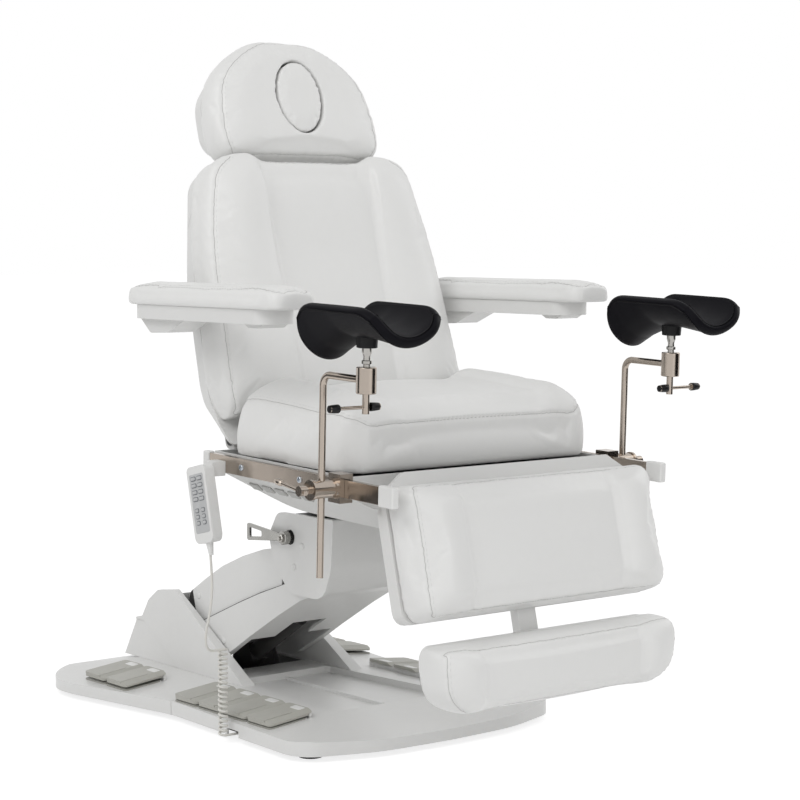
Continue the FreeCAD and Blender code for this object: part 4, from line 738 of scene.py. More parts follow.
grip = corner_edges(wedge("swivel_lever", 0.004, 0.117, 0.0062, 0.0060, 0.0165), 0.0045, along=0)
carve(grip, corner_edges(wedge("grip_opening", 0.070, 0.109, 0.020, 0.0050, 0.0090), 0.0030, along=0))
break_edges(grip, 0.0014, 3, 40.0)
hub = turned("lever_hub", LEVER_HUB, (LEVER_HUB_X, *LEVER_AT), OUTWARD)
lever = join("swivel_lever", grip, hub)
settle(lever, cast_alloy, "lock_lever", "alloy", "lock_lever")
lever_nut = turned("lever_nut", LEVER_NUT, (LEVER_NUT_X, *LEVER_AT), OUTWARD, sides=6)
settle(lever_nut, bright_steel, "lock_lever", "alloy")
lever_collar = turned("lever_collar", LEVER_COLLAR, (LEVER_COLLAR_X, *LEVER_AT), OUTWARD)
settle(lever_collar, rubber, "lock_lever", "alloy")

# Seat pan: white moulded tray that closes the seat from below, with five trapezoid keys let into
# its right flank.
pan_paint = finish("pan_plastic", (0.755, 0.755, 0.745), PAINT_MARK, 0.42, amount=0.22)
pan = rounded("seat_pan", "seat_tray", 0.0022)
settle(pan, pan_paint, "seat", "shell", "seat_pan")
key_plastic = finish("key_plastic", (0.50, 0.50, 0.485), (0.38, 0.375, 0.36), 0.45, amount=0.3)
keys = rounded("panel_keys", "side_panel_keys", 0.0009, 2)
settle(keys, key_plastic, "seat", "key", "panel_keys")

# Side rails: flat bars of brushed nickel-plated steel, screwed to the pan through spacers, with
# white plastic end caps and the hand control's holder.
brushed, brushed_in, brushed_out = surface_group(
    "brushed_lines", [("Across", "NodeSocketFloat", 1600.0)], [("Height", "NodeSocketFloat")])
brushed_place = brushed.nodes.new("ShaderNodeMapping")
brushed.links.new(brushed.nodes.new("ShaderNodeTexCoord").outputs["Object"], brushed_place.inputs["Vector"])
brushed_place.inputs["Scale"].default_value = (1.0, 0.03, 1.0)
brushed_noise = noise_node(brushed, 1600.0, 3.0, brushed_place.outputs["Vector"], 0.65)
brushed.links.new(brushed_in.outputs["Across"], brushed_noise.inputs["Scale"])
brushed.links.new(brushed_noise.outputs["Fac"], brushed_out.inputs["Height"])
nickel = finish("brushed_nickel", (0.43, 0.375, 0.325), (0.31, 0.265, 0.225), 0.2, amount=0.22,
                spread=0.08, metal=1.0, height=brushed, depth=0.00006, strength=0.5)
zinc = finish("zinc_screws", (0.50, 0.53, 0.56), (0.33, 0.36, 0.40), 0.25, amount=0.5, metal=1.0)
rails = rounded("side_rails", "rail_bars", 0.0008, 2)
settle(rails, nickel, "seat", "rail", "side_rails")
SCREW_PROFILE = [(-0.001, 0.0058), (0.0012, 0.0058), (0.0024, 0.0050), (0.0029, 0.0040), (0.0029, 0.0028),
                 (0.0012, 0.0026), (0.0010, 0.0004)]
RAIL_SCREWS = [("rear", -0.091, 0.4974), ("front", -0.262, 0.4914)]
RAIL_FACE = 0.307
for side, sense in SIDES:
    for end, along, height in RAIL_SCREWS:
        spot = (sense * RAIL_FACE, along, height)
        screw = turned("rail_screw_%s_%s" % (end, side), SCREW_PROFILE, spot, (sense, 0.0, 0.0), 24)
        settle(screw, zinc, "seat", "rail")
cap_plastic = finish("cap_plastic", (0.78, 0.78, 0.77), PAINT_MARK, 0.4, amount=0.2)
caps = rounded("rail_caps", "rail_end_caps", 0.0010, 2)
settle(caps, cap_plastic, "seat", "cap", "rail_caps")

# Seat cushion: cut foam on a board under white leatherette, a top panel sewn to a border all
# round, with two shallow channels between the raised sides and the middle.
hide, hide_in, hide_out = surface_group(
    "hide_grain", [("Pebble", "NodeSocketFloat", 720.0)], [("Height", "NodeSocketFloat")])
hide_place = hide.nodes.new("ShaderNodeTexCoord").outputs["Object"]
hide_cells = hide.nodes.new("ShaderNodeTexVoronoi")
hide_cells.feature = "SMOOTH_F1"
hide.links.new(hide_place, hide_cells.inputs["Vector"])
hide.links.new(hide_in.outputs["Pebble"], hide_cells.inputs["Scale"])
hide_pull = noise_node(hide, 90.0, 4.0, hide_place, 0.6).outputs["Fac"]
hide_height = math_node(hide, "ADD", math_node(hide, "MULTIPLY", hide_cells.outputs["Distance"], 0.8),
                        math_node(hide, "MULTIPLY", hide_pull, 0.9))
hide.links.new(hide_height, hide_out.inputs["Height"])
leatherette = finish("white_leatherette", (0.80, 0.80, 0.79), (0.70, 0.695, 0.675), 0.44, amount=0.2,
                     height=hide, depth=0.00016, strength=0.35, sheen=0.05)
thread = finish("seam_thread", (0.74, 0.74, 0.73), (0.64, 0.635, 0.62), 0.6, amount=0.3)
# The seam's fold line is painted shade: a grey darker than the cover, standing for the shade that lies in the
# fold of each seam.
seam_shade_paint = finish("seam_shade_paint", (0.53, 0.525, 0.515), (0.44, 0.435, 0.425), 0.7, amount=0.3, gleam=0.2)
SEAM_PULL = (0.0020, 0.0040, 0.0005)
STITCH_INSET = 0.0055
BROAD_FOAM = (0.006, 0.003, 0.006)
FILL_STEPS = 20
FILL_PRESSURE = 4.0
COVER_WEIGHT = 0.3


def read_points(mesh, what="co"):
    """The places of a mesh's points, or the way they face."""
    values = np.empty(len(mesh.vertices) * 3, np.float32)
    if what == "co":
        mesh.vertices.foreach_get("co", values)
    else:
        mesh.vertex_normals.foreach_get("vector", values)
    return values.reshape(-1, 3)


def write_points(mesh, points):
    """Put a mesh's points in new places."""
    mesh.vertices.foreach_set("co", np.ascontiguousarray(points, np.float32).ravel())
    mesh.update()


def stuffed(node, name, foam, rests, reshape=None):
    """Foam under a sewn cover: the solid drawn in a little, then swollen by its filling. The foam
    gives the mesh size, how far the cover is drawn in and how far it may swell."""
    cell, slack, cap = foam
    piece = traced(node, name)
    even = piece.modifiers.new("even", "REMESH")
    even.mode = "VOXEL"
    even.voxel_size = cell
    ease = piece.modifiers.new("ease", "SMOOTH")
    ease.factor = 0.5
    ease.iterations = 4
    apply_all(piece)
    mesh = piece.data
    if reshape:
        write_points(mesh, reshape(read_points(mesh)))
    start = read_points(mesh)
    normals = read_points(mesh, "normal")
    held = rests(start, normals)
    drawn = start - normals * slack * (~held)[:, None]
    moved = start
    write_points(mesh, drawn)
    group = piece.vertex_groups.new(name="held")
    group.add([int(i) for i in np.nonzero(held)[0]], 1.0, "REPLACE")
    filling = piece.modifiers.new("filling", "CLOTH")
    filling.settings.quality = 4
    filling.settings.mass = COVER_WEIGHT
    filling.settings.use_pressure = True
    filling.settings.uniform_pressure_force = FILL_PRESSURE
    filling.settings.effector_weights.gravity = 0.0
    filling.settings.vertex_group_mass = "held"
    filling.point_cache.frame_start = 1
    filling.point_cache.frame_end = FILL_STEPS
    for step in range(1, FILL_STEPS + 1):
        scene.frame_set(step)
    apply_all(piece)
    scene.frame_set(1)
    swell = read_points(mesh) - drawn
    far = np.linalg.norm(swell, axis=1)
    moved = drawn + swell * np.minimum(1.0, cap / np.maximum(far, 1e-9))[:, None]
    piece.vertex_groups.clear()
    write_points(mesh, moved)
    finer = piece.modifiers.new("finer", "SUBSURF")
    finer.levels = 1
    finer.render_levels = 1
    apply_all(piece)
    bpy.ops.object.shade_smooth()
    return piece


def laid_line(piece, corners, closed, spacing=0.003):
    """A smooth line through the corners, laid on the cover: its points and their normals."""
    points = [Vector(c) for c in corners]
    count = len(points)
    fine = []
    for i in range(count if closed else count - 1):
        if closed:
            a, b, c, d = (points[(i + k) % count] for k in (-1, 0, 1, 2))
        else:
            a, b, c, d = (points[min(max(i + k, 0), count - 1)] for k in (-1, 0, 1, 2))
        for k in range(40):
            t = k / 40
            fine.append(0.5 * (2 * b + (c - a) * t + (2 * a - 5 * b + 4 * c - d) * t * t
                               + (3 * b - a - 3 * c + d) * t * t * t))
    tree = BVHTree.FromObject(piece, bpy.context.evaluated_depsgraph_get())
    line = []
    for point in fine + ([fine[0]] if closed else [points[-1]]):
        spot, normal, face, gap = tree.find_nearest(point)
        if not line or (spot - line[-1][0]).length >= spacing:
            line.append((spot, normal))
    return line


def pull_in(piece, line, depth, width, pucker=0.0):
    """Draw the cover in along a line, as a row of stitches or a sewn channel does."""
    tree = KDTree(len(line))
    for i, (spot, normal) in enumerate(line):
        tree.insert(spot, i)
    tree.balance()
    mesh = piece.data
    points = read_points(mesh)
    normals = read_points(mesh, "normal")
    reach = max(3.0 * width, 0.02 if pucker else 0.0)
    for i in range(len(points)):
        spot, index, gap = tree.find(points[i])
        if gap > reach:
            continue
        draw = depth * math.exp(-(gap / width) ** 2)
        if pucker:
            beat = math.sin(index * 0.61) * math.sin(index * 0.23 + 1.3) + 0.6 * math.sin(index * 1.37)
            draw += pucker * beat * math.exp(-(gap / 0.011) ** 2)
        points[i] -= normals[i] * draw
    write_points(mesh, points)


STITCH_LIFT = 0.0001
STITCH_RING = [(math.cos(math.tau * k / 6), math.sin(math.tau * k / 6)) for k in range(6)]


def stitches(name, piece, line, inset, middle, step=0.0075, long=0.0050, thick=0.00038):
    """A row of top stitches beside a seam, one short bead of thread each."""
    tree = BVHTree.FromObject(piece, bpy.context.evaluated_depsgraph_get())
    row = []
    for spot, normal in line:
        inward = Vector(middle) - spot
        inward = (inward - normal * inward.dot(normal)).normalized()
        place, up, face, gap = tree.find_nearest(spot + inward * inset)
        row.append((place, up))
    verts, faces = [], []
    run = 0.0
    for (a, up), (b, after) in zip(row, row[1:]):
        run += (b - a).length
        if run < step or (b - a).length < 1e-6:
            continue
        run = 0.0
        along = (b - a).normalized()
        across = along.cross(up).normalized()
        first = len(verts)
        for share, fat in ((-0.5, 0.45), (-0.3, 1.0), (0.3, 1.0), (0.5, 0.45)):
            for c, s in STITCH_RING:
                round_thread = across * (thick * fat * c) + up * (thick * fat * s + STITCH_LIFT)
                verts.append(a + along * long * share + round_thread)
        for ring in range(3):
            for k in range(6):
                p = first + ring * 6 + k
                q = first + ring * 6 + (k + 1) % 6
                faces.append((p, q, q + 6, p + 6))
        faces.append(tuple(range(first + 5, first - 1, -1)))
        faces.append(tuple(range(first + 18, first + 24)))
    mesh = bpy.data.meshes.new(name)
    mesh.from_pydata(verts, [], faces)
    row_piece = bpy.data.objects.new(name, mesh)
    scene.collection.objects.link(row_piece)
    only(row_piece)
    bpy.ops.object.mode_set(mode="EDIT")
    bpy.ops.mesh.select_all(action="SELECT")
    bpy.ops.mesh.normals_make_consistent(inside=False)
    bpy.ops.object.mode_set(mode="OBJECT")
    bpy.ops.object.shade_smooth()
    return row_piece


def seam_shade_line(name, piece, line, radius=0.00055):
    """Painted shade in the fold where two covers are sewn together: a thin round line of darker grey let half
    into the surface.
    """
    tree = BVHTree.FromObject(piece, bpy.context.evaluated_depsgraph_get())
    row = [tree.find_nearest(spot)[:2] for spot, normal in line]
    return bead(name, [spot + up * radius * 0.1 for spot, up in row], radius, True)


def sink(piece, depth):
    """Let the middle panel in behind its side bolsters: a depth for each point of the cover."""
    mesh = piece.data
    points = read_points(mesh)
    normals = read_points(mesh, "normal")
    write_points(mesh, points - normals * depth(points, normals)[:, None])


def ramp(values, low, high):
    """Nought below low, one above high, with soft ends."""
    share = np.clip((values - low) / (high - low), 0.0, 1.0)
    return share * share * (3.0 - 2.0 * share)


def upholster(node, name, foam, rests, panel=None, middle=None, channels=(), channel=None, well=None,
              reshape=None):
    """One cushion: foam and cover, the seam round its panel with a line of painted shade in its fold, the
    sewn channels and the stitches.
    """
    body = frame["nodes"][node]["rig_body"]
    pad = stuffed(node, name, foam, rests, reshape)
    if well:
        sink(pad, well)
    for corners in channels:
        pull_in(pad, laid_line(pad, corners, False), *channel)
    if panel:
        seam = laid_line(pad, panel, True)
        pull_in(pad, seam, *SEAM_PULL)
        # A thin grey line along the seam is painted shade in its fold.
        settle(seam_shade_line(name + "_seam", pad, seam), seam_shade_paint, body, "upholstery")
        row = stitches(name + "_stitches", pad, seam, STITCH_INSET, middle)
        settle(row, thread, body, "upholstery")
    settle(pad, leatherette, body, "upholstery", node)


def both_sides(runs):
    """A panel's outline up one side and down the other."""
    return runs + [(-x, *rest) for x, *rest in reversed(runs)]


def under(places, normals):
    """The underside of a cushion, which lies on its board."""
    return normals[:, 2] < -0.8


SEAT_PITCH = math.radians(2.0)
SEAT_AXIS_LEVEL = (-0.120, 0.440)
SEAT_AXIS = (-0.159, 0.440)


def seat_spot(x, y, z):
    """A point of the level seat, tipped with it."""
    dy, dz = y - SEAT_AXIS_LEVEL[0], z - SEAT_AXIS_LEVEL[1]
    return (x, SEAT_AXIS[0] + dy * math.cos(SEAT_PITCH) - dz * math.sin(SEAT_PITCH),
            SEAT_AXIS[1] + dy * math.sin(SEAT_PITCH) + dz * math.cos(SEAT_PITCH))


def both_channels(spot, runs):
    """The sewn channel of one side of a cushion, and its mirror."""
    return [[spot(sense * x, *rest) for x, *rest in runs] for sense in (1.0, -1.0)]


SEAT_RUNS = [(0.150, -0.325, 0.594), (0.222, -0.322, 0.591), (0.254, -0.311, 0.604), (0.273, -0.281, 0.611),
             (0.278, -0.233, 0.612), (0.278, -0.153, 0.616), (0.278, -0.063, 0.618), (0.277, -0.010, 0.614),
             (0.268, 0.010, 0.600), (0.150, 0.012, 0.606)]
SEAT_CHANNEL = [(0.160, -0.310, 0.610), (0.170, -0.270, 0.622), (0.172, -0.160, 0.630),
                (0.172, -0.010, 0.630)]
SEAT_WELL_HALF = 0.172
SEAT_WELL_DEEP = 0.006


def seat_well(points, normals):
    """How far the seat's middle lies below its sides."""
    inner = ramp(SEAT_WELL_HALF - np.abs(points[:, 0]), 0.0, 0.045)
    return SEAT_WELL_DEEP * inner * ramp(normals[:, 2], 0.2, 0.8) * ramp(points[:, 1], -0.370, -0.310)


upholster("seat_cushion", "seat_pad", BROAD_FOAM, under, [seat_spot(*p) for p in both_sides(SEAT_RUNS)],
          seat_spot(0.0, -0.15, 0.66), both_channels(seat_spot, SEAT_CHANNEL), channel=(0.0010, 0.014),
          well=seat_well)

# Backrest: a steel plate in a white moulded shell, with a deep foam cushion whose side bolsters
# stand proud of the middle panel along two sewn channels.
BACK_LEAN = math.radians(15.4)
BACK_HINGE = (0.056, 0.530)
BACK_SHELL_INNER = 0.19
BACK_SHELL_GROW = 0.011
BACK_SHELL_LAP = 0.010
BACK_SHELL_LIP = 0.018
back_shell = traced("back_shell", "back_moulding")
for vert in back_shell.data.vertices:
    if abs(vert.co.x) > BACK_SHELL_INNER:
        vert.co.x += math.copysign(BACK_SHELL_GROW, vert.co.x)
        y, z = vert.co.y - BACK_HINGE[0], vert.co.z - BACK_HINGE[1]
        if z * math.sin(BACK_LEAN) - y * math.cos(BACK_LEAN) > BACK_SHELL_LIP:
            vert.co.y -= BACK_SHELL_LAP
break_edges(back_shell, 0.0030)
settle(back_shell, pan_paint, "back", "shell", "back_shell")


def back_spot(x, n, s):
    """A point of the back: across, out from the hinge line, up the back."""
    return (x, BACK_HINGE[0] - n * math.cos(BACK_LEAN) + s * math.sin(BACK_LEAN),
            BACK_HINGE[1] + n * math.sin(BACK_LEAN) + s * math.cos(BACK_LEAN))


def back_axes(points):
    """How far points lie out from the back's hinge line, and how far up the back."""
    y, z = points[:, 1] - BACK_HINGE[0], points[:, 2] - BACK_HINGE[1]
    return (z * math.sin(BACK_LEAN) - y * math.cos(BACK_LEAN),
            y * math.sin(BACK_LEAN) + z * math.cos(BACK_LEAN))


def moved_along_back(points, out, up):
    """Points moved outwards and up the back."""
    shift = np.stack((np.zeros_like(up), up * math.sin(BACK_LEAN) - out * math.cos(BACK_LEAN),
                      up * math.cos(BACK_LEAN) + out * math.sin(BACK_LEAN)), axis=1)
    return points + shift


def rear_of(angle, share=0.8):
    """The back of a cushion, which lies on its board: what faces backwards."""
    away = np.array((0.0, math.cos(angle), -math.sin(angle)))
    return lambda places, normals: normals @ away > share


BACK_RUNS = [(0.130, 0.080, 0.024), (0.258, 0.076, 0.028), (0.266, 0.086, 0.044), (0.271, 0.089, 0.092),
             (0.267, 0.088, 0.182), (0.262, 0.085, 0.291), (0.253, 0.084, 0.370), (0.239, 0.084, 0.440),
             (0.221, 0.081, 0.480), (0.189, 0.073, 0.500), (0.157, 0.064, 0.508), (0.070, 0.068, 0.509)]
BACK_CHANNEL = [(0.114, 0.092, 0.040), (0.120, 0.094, 0.130), (0.124, 0.094, 0.270), (0.130, 0.092, 0.400),
                (0.132, 0.080, 0.495)]
BACK_WELL_UP = (0.040, 0.270, 0.495)
BACK_WELL_HALF = (0.116, 0.125, 0.134)
BACK_WELL_DEEP = 0.009
BACK_TOP_RISE = 0.010
SHOULDER_RISE = 0.016


def back_well(points, normals):
    """How far the back's middle panel lies behind its bolsters."""
    up = back_axes(points)[1]
    edge = np.interp(up, BACK_WELL_UP, BACK_WELL_HALF)
    inner = ramp(edge - np.abs(points[:, 0]), -0.002, 0.014)
    facing = normals @ np.array((0.0, -math.cos(BACK_LEAN), math.sin(BACK_LEAN)))
    ends = ramp(up, 0.030, 0.090) * ramp(-up, -0.505, -0.470)
    return BACK_WELL_DEEP * inner * ramp(facing, 0.2, 0.8) * ends


def shoulders(points):
    """The top edge dips for the headrest between two raised shoulders."""
    out, up = back_axes(points)
    across = np.abs(points[:, 0])
    raised = BACK_TOP_RISE + SHOULDER_RISE * ramp(across, 0.105, 0.150) * ramp(out, 0.050, 0.078)
    return moved_along_back(points, 0.0 * up, raised * ramp(up, 0.420, 0.500))


upholster("back_cushion", "back_pad", BROAD_FOAM, rear_of(BACK_LEAN),
          [back_spot(*p) for p in both_sides(BACK_RUNS)], back_spot(0.0, 0.11, 0.26),
          both_channels(back_spot, BACK_CHANNEL), channel=(0.0014, 0.008), well=back_well, reshape=shoulders)


def skinned(piece, kept=None):
    """Close a piece to the tight skin round its points, or round those that are kept."""
    only(piece)
    bpy.ops.object.mode_set(mode="EDIT")
    bpy.ops.mesh.select_mode(type="VERT")
    bpy.ops.mesh.select_all(action="DESELECT")
    bpy.ops.object.mode_set(mode="OBJECT")
    if kept is not None:
        for vert, stays in zip(piece.data.vertices, kept):
            vert.select = not stays
    bpy.ops.object.mode_set(mode="EDIT")
    bpy.ops.mesh.delete(type="VERT")
    bpy.ops.mesh.select_all(action="SELECT")
    bpy.ops.mesh.convex_hull()
    bpy.ops.mesh.normals_make_consistent(inside=False)
    bpy.ops.object.mode_set(mode="OBJECT")


CHEEK_INNER = 0.175
CHEEK_FOOT = 0.33
CHEEK_SINK = 0.0003
SHELL_SMOOTH = 50.0
for side, sense in SIDES:
    cheek = bpy.data.objects.new("back_shell_cheek_" + side, back_shell.data.copy())
    scene.collection.objects.link(cheek)
    cheek_points = read_points(cheek.data)
    upper = back_axes(cheek_points)[1] > CHEEK_FOOT
    skinned(cheek, upper & (sense * cheek_points[:, 0] > CHEEK_INNER))
    bpy.ops.object.mode_set(mode="EDIT")
    bpy.ops.transform.shrink_fatten(value=-CHEEK_SINK)
    bpy.ops.object.mode_set(mode="OBJECT")
    evened(cheek, SHELL_SMOOTH)
    settle(cheek, pan_paint, "back", "shell")

# Headrest: D-shaped cushion on two steel rods, with an oval plug that lifts out of its face
# opening, and a white moulded shell behind.
HEAD_FRONT = 0.066
HEAD_DEEPER = 0.021
HEAD_WIDER = 1.02
HEAD_TALLER = 0.009
HEAD_FOAM = (0.005, 0.002, 0.004)
PLUG_FOAM = (0.004, 0.0012, 0.004)
HEAD_SHELL_FACE = 0.024
HEAD_SHELL_MIDDLE = 0.610
HEAD_SHELL_WIDER = (1.04, 0.115)
HEAD_SHELL_TALLER = (0.03, 0.16)
HEAD_SHELL_BACK = 0.006
head_shell = traced("head_shell", "head_back_moulding", whole=False)
shell_points = read_points(head_shell.data)
shell_out, shell_up = back_axes(shell_points)
shell_rear = ramp(-shell_out, -HEAD_SHELL_FACE, 0.005)
shell_points[:, 0] *= HEAD_SHELL_WIDER[0] + HEAD_SHELL_WIDER[1] * shell_rear
shell_rise = (shell_up - HEAD_SHELL_MIDDLE) * (HEAD_SHELL_TALLER[0] + HEAD_SHELL_TALLER[1] * shell_rear)
write_points(head_shell.data,
             moved_along_back(shell_points, -HEAD_DEEPER - HEAD_SHELL_BACK * shell_rear, shell_rise))
skinned(head_shell)
evened(head_shell, SHELL_SMOOTH)
settle(head_shell, pan_paint, "headrest", "shell", "head_shell")


def deeper_head(points):
    """The head cushion is deeper behind and a little taller and wider than its foam core."""
    out, up = back_axes(points)
    back = np.minimum(out - HEAD_FRONT, 0.0) * HEAD_DEEPER / (HEAD_FRONT - HEAD_SHELL_FACE)
    wider = points * np.array((HEAD_WIDER, 1.0, 1.0))
    return moved_along_back(wider, back, HEAD_TALLER * ramp(up, 0.700, 0.765))


HEAD_RUNS = [(0.080, 0.056, 0.516), (0.148, 0.050, 0.518), (0.168, 0.063, 0.531), (0.176, 0.066, 0.567),
             (0.172, 0.064, 0.627), (0.154, 0.062, 0.677), (0.120, 0.060, 0.713), (0.078, 0.056, 0.737),
             (0.036, 0.046, 0.749)]
upholster("head_cushion", "head_pad", HEAD_FOAM, rear_of(BACK_LEAN),
          [back_spot(*p) for p in both_sides(HEAD_RUNS)], back_spot(0.0, 0.09, 0.63), reshape=deeper_head)
upholster("head_plug", "head_oval", PLUG_FOAM, rear_of(BACK_LEAN))

# Armrests: white moulded arms that turn up on pins of the back, each with a padded top whose
# upper panel is sewn in all round.
ARM_FOAM = (0.004, 0.0012, 0.003)
ARM_MIDDLE = (0.338, -0.07, 0.90)
ARM_RIM = [(0.302, -0.285, 0.822), (0.338, -0.294, 0.823), (0.374, -0.285, 0.822), (0.380, -0.200, 0.823),
           (0.380, 0.090, 0.823), (0.374, 0.158, 0.822), (0.338, 0.164, 0.823), (0.302, 0.158, 0.822),
           (0.296, 0.090, 0.823), (0.296, -0.200, 0.823)]
for side, sense in SIDES:
    arm_body = rounded("arm_body_" + side, "armrest_base_" + side, 0.0035)
    settle(arm_body, pan_paint, "armrest_" + side, "shell", "arm_body_" + side)
    rim = [(x * sense, y, z) for x, y, z in ARM_RIM]
    upholster("arm_pad_" + side, "armrest_pad_" + side, ARM_FOAM, under, rim,
              (sense * ARM_MIDDLE[0], *ARM_MIDDLE[1:]))

# Leg rest: board and cushion hung from the seat's front hinge, the board with a rolled edge and
# the front panel sewn in with a seam set back from the edge.
LEG_HANG = math.radians(13.6)
LEG_HINGE = (-0.414, 0.495)


def leg_spot(x, n, s):
    """A point of the leg rest: across, out from the hinge line, down the leg."""
    return (x, LEG_HINGE[0] - n * math.cos(LEG_HANG) - s * math.sin(LEG_HANG),
            LEG_HINGE[1] + n * math.sin(LEG_HANG) - s * math.cos(LEG_HANG))


leg_board = rounded("leg_shell", "leg_board", 0.0020)
settle(leg_board, pan_paint, "leg_rest", "shell", "leg_shell")
RIM_HALF = 0.274
RIM_WALL = 0.016
RIM_REAR = 0.003
RIM_FACE = 0.0225
RIM_TOP = 0.034
RIM_BOTTOM = 0.235
RIM_CORNER = 0.022
RIM_ROOM_CORNER = 0.010
RIM_EDGE = 0.0060
SLIDE_ROOM = 0.026
leg_rim = block("leg_board_edge", (-RIM_HALF, -RIM_BOTTOM, RIM_REAR), (RIM_HALF, -RIM_TOP, RIM_FACE))
corner_edges(leg_rim, RIM_CORNER)
inner = block("rim_room", (-RIM_HALF + RIM_WALL, -RIM_BOTTOM + RIM_WALL, -0.1),
              (RIM_HALF - RIM_WALL, 0.1, 0.1))
corner_edges(inner, RIM_ROOM_CORNER)
carve(leg_rim, inner, block("slide_room", (-SLIDE_ROOM, -0.3, -0.1), (SLIDE_ROOM, -0.15, 0.1)))
break_edges(leg_rim, RIM_EDGE, 4, 40.0)
hang_down = Matrix(((1.0, 0.0, 0.0, 0.0), (0.0, math.sin(LEG_HANG), -math.cos(LEG_HANG), LEG_HINGE[0]),
                    (0.0, math.cos(LEG_HANG), math.sin(LEG_HANG), LEG_HINGE[1]), (0.0, 0.0, 0.0, 1.0)))
leg_rim.data.transform(hang_down)
settle(leg_rim, pan_paint, "leg_rest", "shell")
LEG_RUNS = [(0.120, 0.090, 0.008), (0.246, 0.086, 0.009), (0.266, 0.096, 0.020), (0.270, 0.100, 0.060),
            (0.270, 0.101, 0.125), (0.270, 0.100, 0.190), (0.264, 0.095, 0.226), (0.244, 0.082, 0.238),
            (0.120, 0.088, 0.239)]
LEG_CHANNEL = [(0.168, 0.090, 0.012), (0.174, 0.103, 0.060), (0.175, 0.104, 0.125), (0.174, 0.103, 0.190),
               (0.168, 0.088, 0.234)]
LEG_WELL_HALF = 0.177
LEG_WELL_DEEP = 0.007


def leg_well(points, normals):
    """How far the leg rest's middle panel lies behind its sides."""
    y, z = points[:, 1] - LEG_HINGE[0], points[:, 2] - LEG_HINGE[1]
    down = -y * math.sin(LEG_HANG) - z * math.cos(LEG_HANG)
    facing = normals @ np.array((0.0, -math.cos(LEG_HANG), math.sin(LEG_HANG)))
    inner = ramp(LEG_WELL_HALF - np.abs(points[:, 0]), -0.002, 0.014)
    ends = ramp(down, 0.004, 0.040) * ramp(-down, -0.240, -0.205)
    return LEG_WELL_DEEP * inner * ramp(facing, 0.2, 0.8) * ends


upholster("leg_cushion", "leg_pad", BROAD_FOAM, rear_of(LEG_HANG),
          [leg_spot(*p) for p in both_sides(LEG_RUNS)], leg_spot(0.0, 0.13, 0.12),
          both_channels(leg_spot, LEG_CHANNEL), channel=(0.0012, 0.008), well=leg_well)

# Foot rest: rounded cushion on a moulded back, carried by a flat steel slide in white enamel that
# runs in the leg rest.
FOOT_AT = (-0.524, 0.128)
FOOT_FOAM = (0.005, 0.002, 0.005)
foot_slide = rounded("foot_bar", "foot_slide", 0.0015)
# The slide's white is painted lighter than the other white paints: painted light that makes up for the leg
# rest's shade over it.
slide_paint_lit = finish("slide_enamel_lit", (0.86, 0.86, 0.85), (0.76, 0.755, 0.74), 0.36, amount=0.2)
settle(foot_slide, slide_paint_lit, "foot_rest", "shell", "foot_bar")


def foot_spot(x, n, up):
    """A point of the foot rest: across, out from its back, up from its lower edge."""
    return (x, FOOT_AT[0] - n, FOOT_AT[1] + up)


FOOT_RUNS = [(0.090, 0.055, 0.000), (0.194, 0.053, 0.001), (0.220, 0.061, 0.008), (0.240, 0.065, 0.022),
             (0.256, 0.067, 0.048), (0.260, 0.067, 0.080), (0.257, 0.063, 0.106), (0.244, 0.051, 0.115),
             (0.090, 0.056, 0.116)]
FOOT_CHANNEL = [(0.174, 0.056, 0.004), (0.182, 0.069, 0.030), (0.182, 0.070, 0.080), (0.178, 0.056, 0.112)]
FOOT_WELL_HALF = 0.184
FOOT_WELL_DEEP = 0.006


def foot_well(points, normals):
    """How far the foot rest's middle panel lies behind its sides."""
    up = points[:, 2] - FOOT_AT[1]
    inner = ramp(FOOT_WELL_HALF - np.abs(points[:, 0]), -0.002, 0.014)
    ends = ramp(up, 0.000, 0.026) * ramp(-up, -0.116, -0.092)
    return FOOT_WELL_DEEP * inner * ramp(-normals[:, 1], 0.2, 0.8) * ends


upholster("foot_cushion", "foot_pad", FOOT_FOAM, rear_of(0.0), [foot_spot(*p) for p in both_sides(FOOT_RUNS)],
          foot_spot(0.0, 0.09, 0.058), both_channels(foot_spot, FOOT_CHANNEL), channel=(0.0012, 0.008),
          well=foot_well)

# Crutch fittings: rail clamp with its tommy screw, bent pole with its socket, and the T-screw
# under the knee pad with black end sleeves, all in brushed nickel.
POLE_X = 0.342
STUD_LINE = -0.442
TOMMY = [(0.0, 0.0036), (0.0010, 0.0044), (0.006, 0.0044), (0.007, 0.0034), (0.066, 0.0034), (0.067, 0.0044),
         (0.072, 0.0057), (0.080, 0.0057), (0.084, 0.0048), (0.0855, 0.0030)]
TOMMY_OUT = 0.039
TOMMY_AT = (-0.341, 0.4925)
TOMMY_RISE = 0.12
SLEEVE = [(0.0, 0.0066), (0.0008, 0.0071), (0.008, 0.0069), (0.016, 0.0062), (0.0185, 0.0055),
          (0.0190, 0.0040)]
SLEEVE_ENDS = [("outer", 0.0542, 1.0), ("inner", -0.0080, -1.0)]
SLEEVE_HIGH = 0.6405
black_plastic = finish("black_plastic", (0.006, 0.006, 0.007), (0.018, 0.018, 0.019), 0.4, amount=0.4,
                       gleam=0.2)
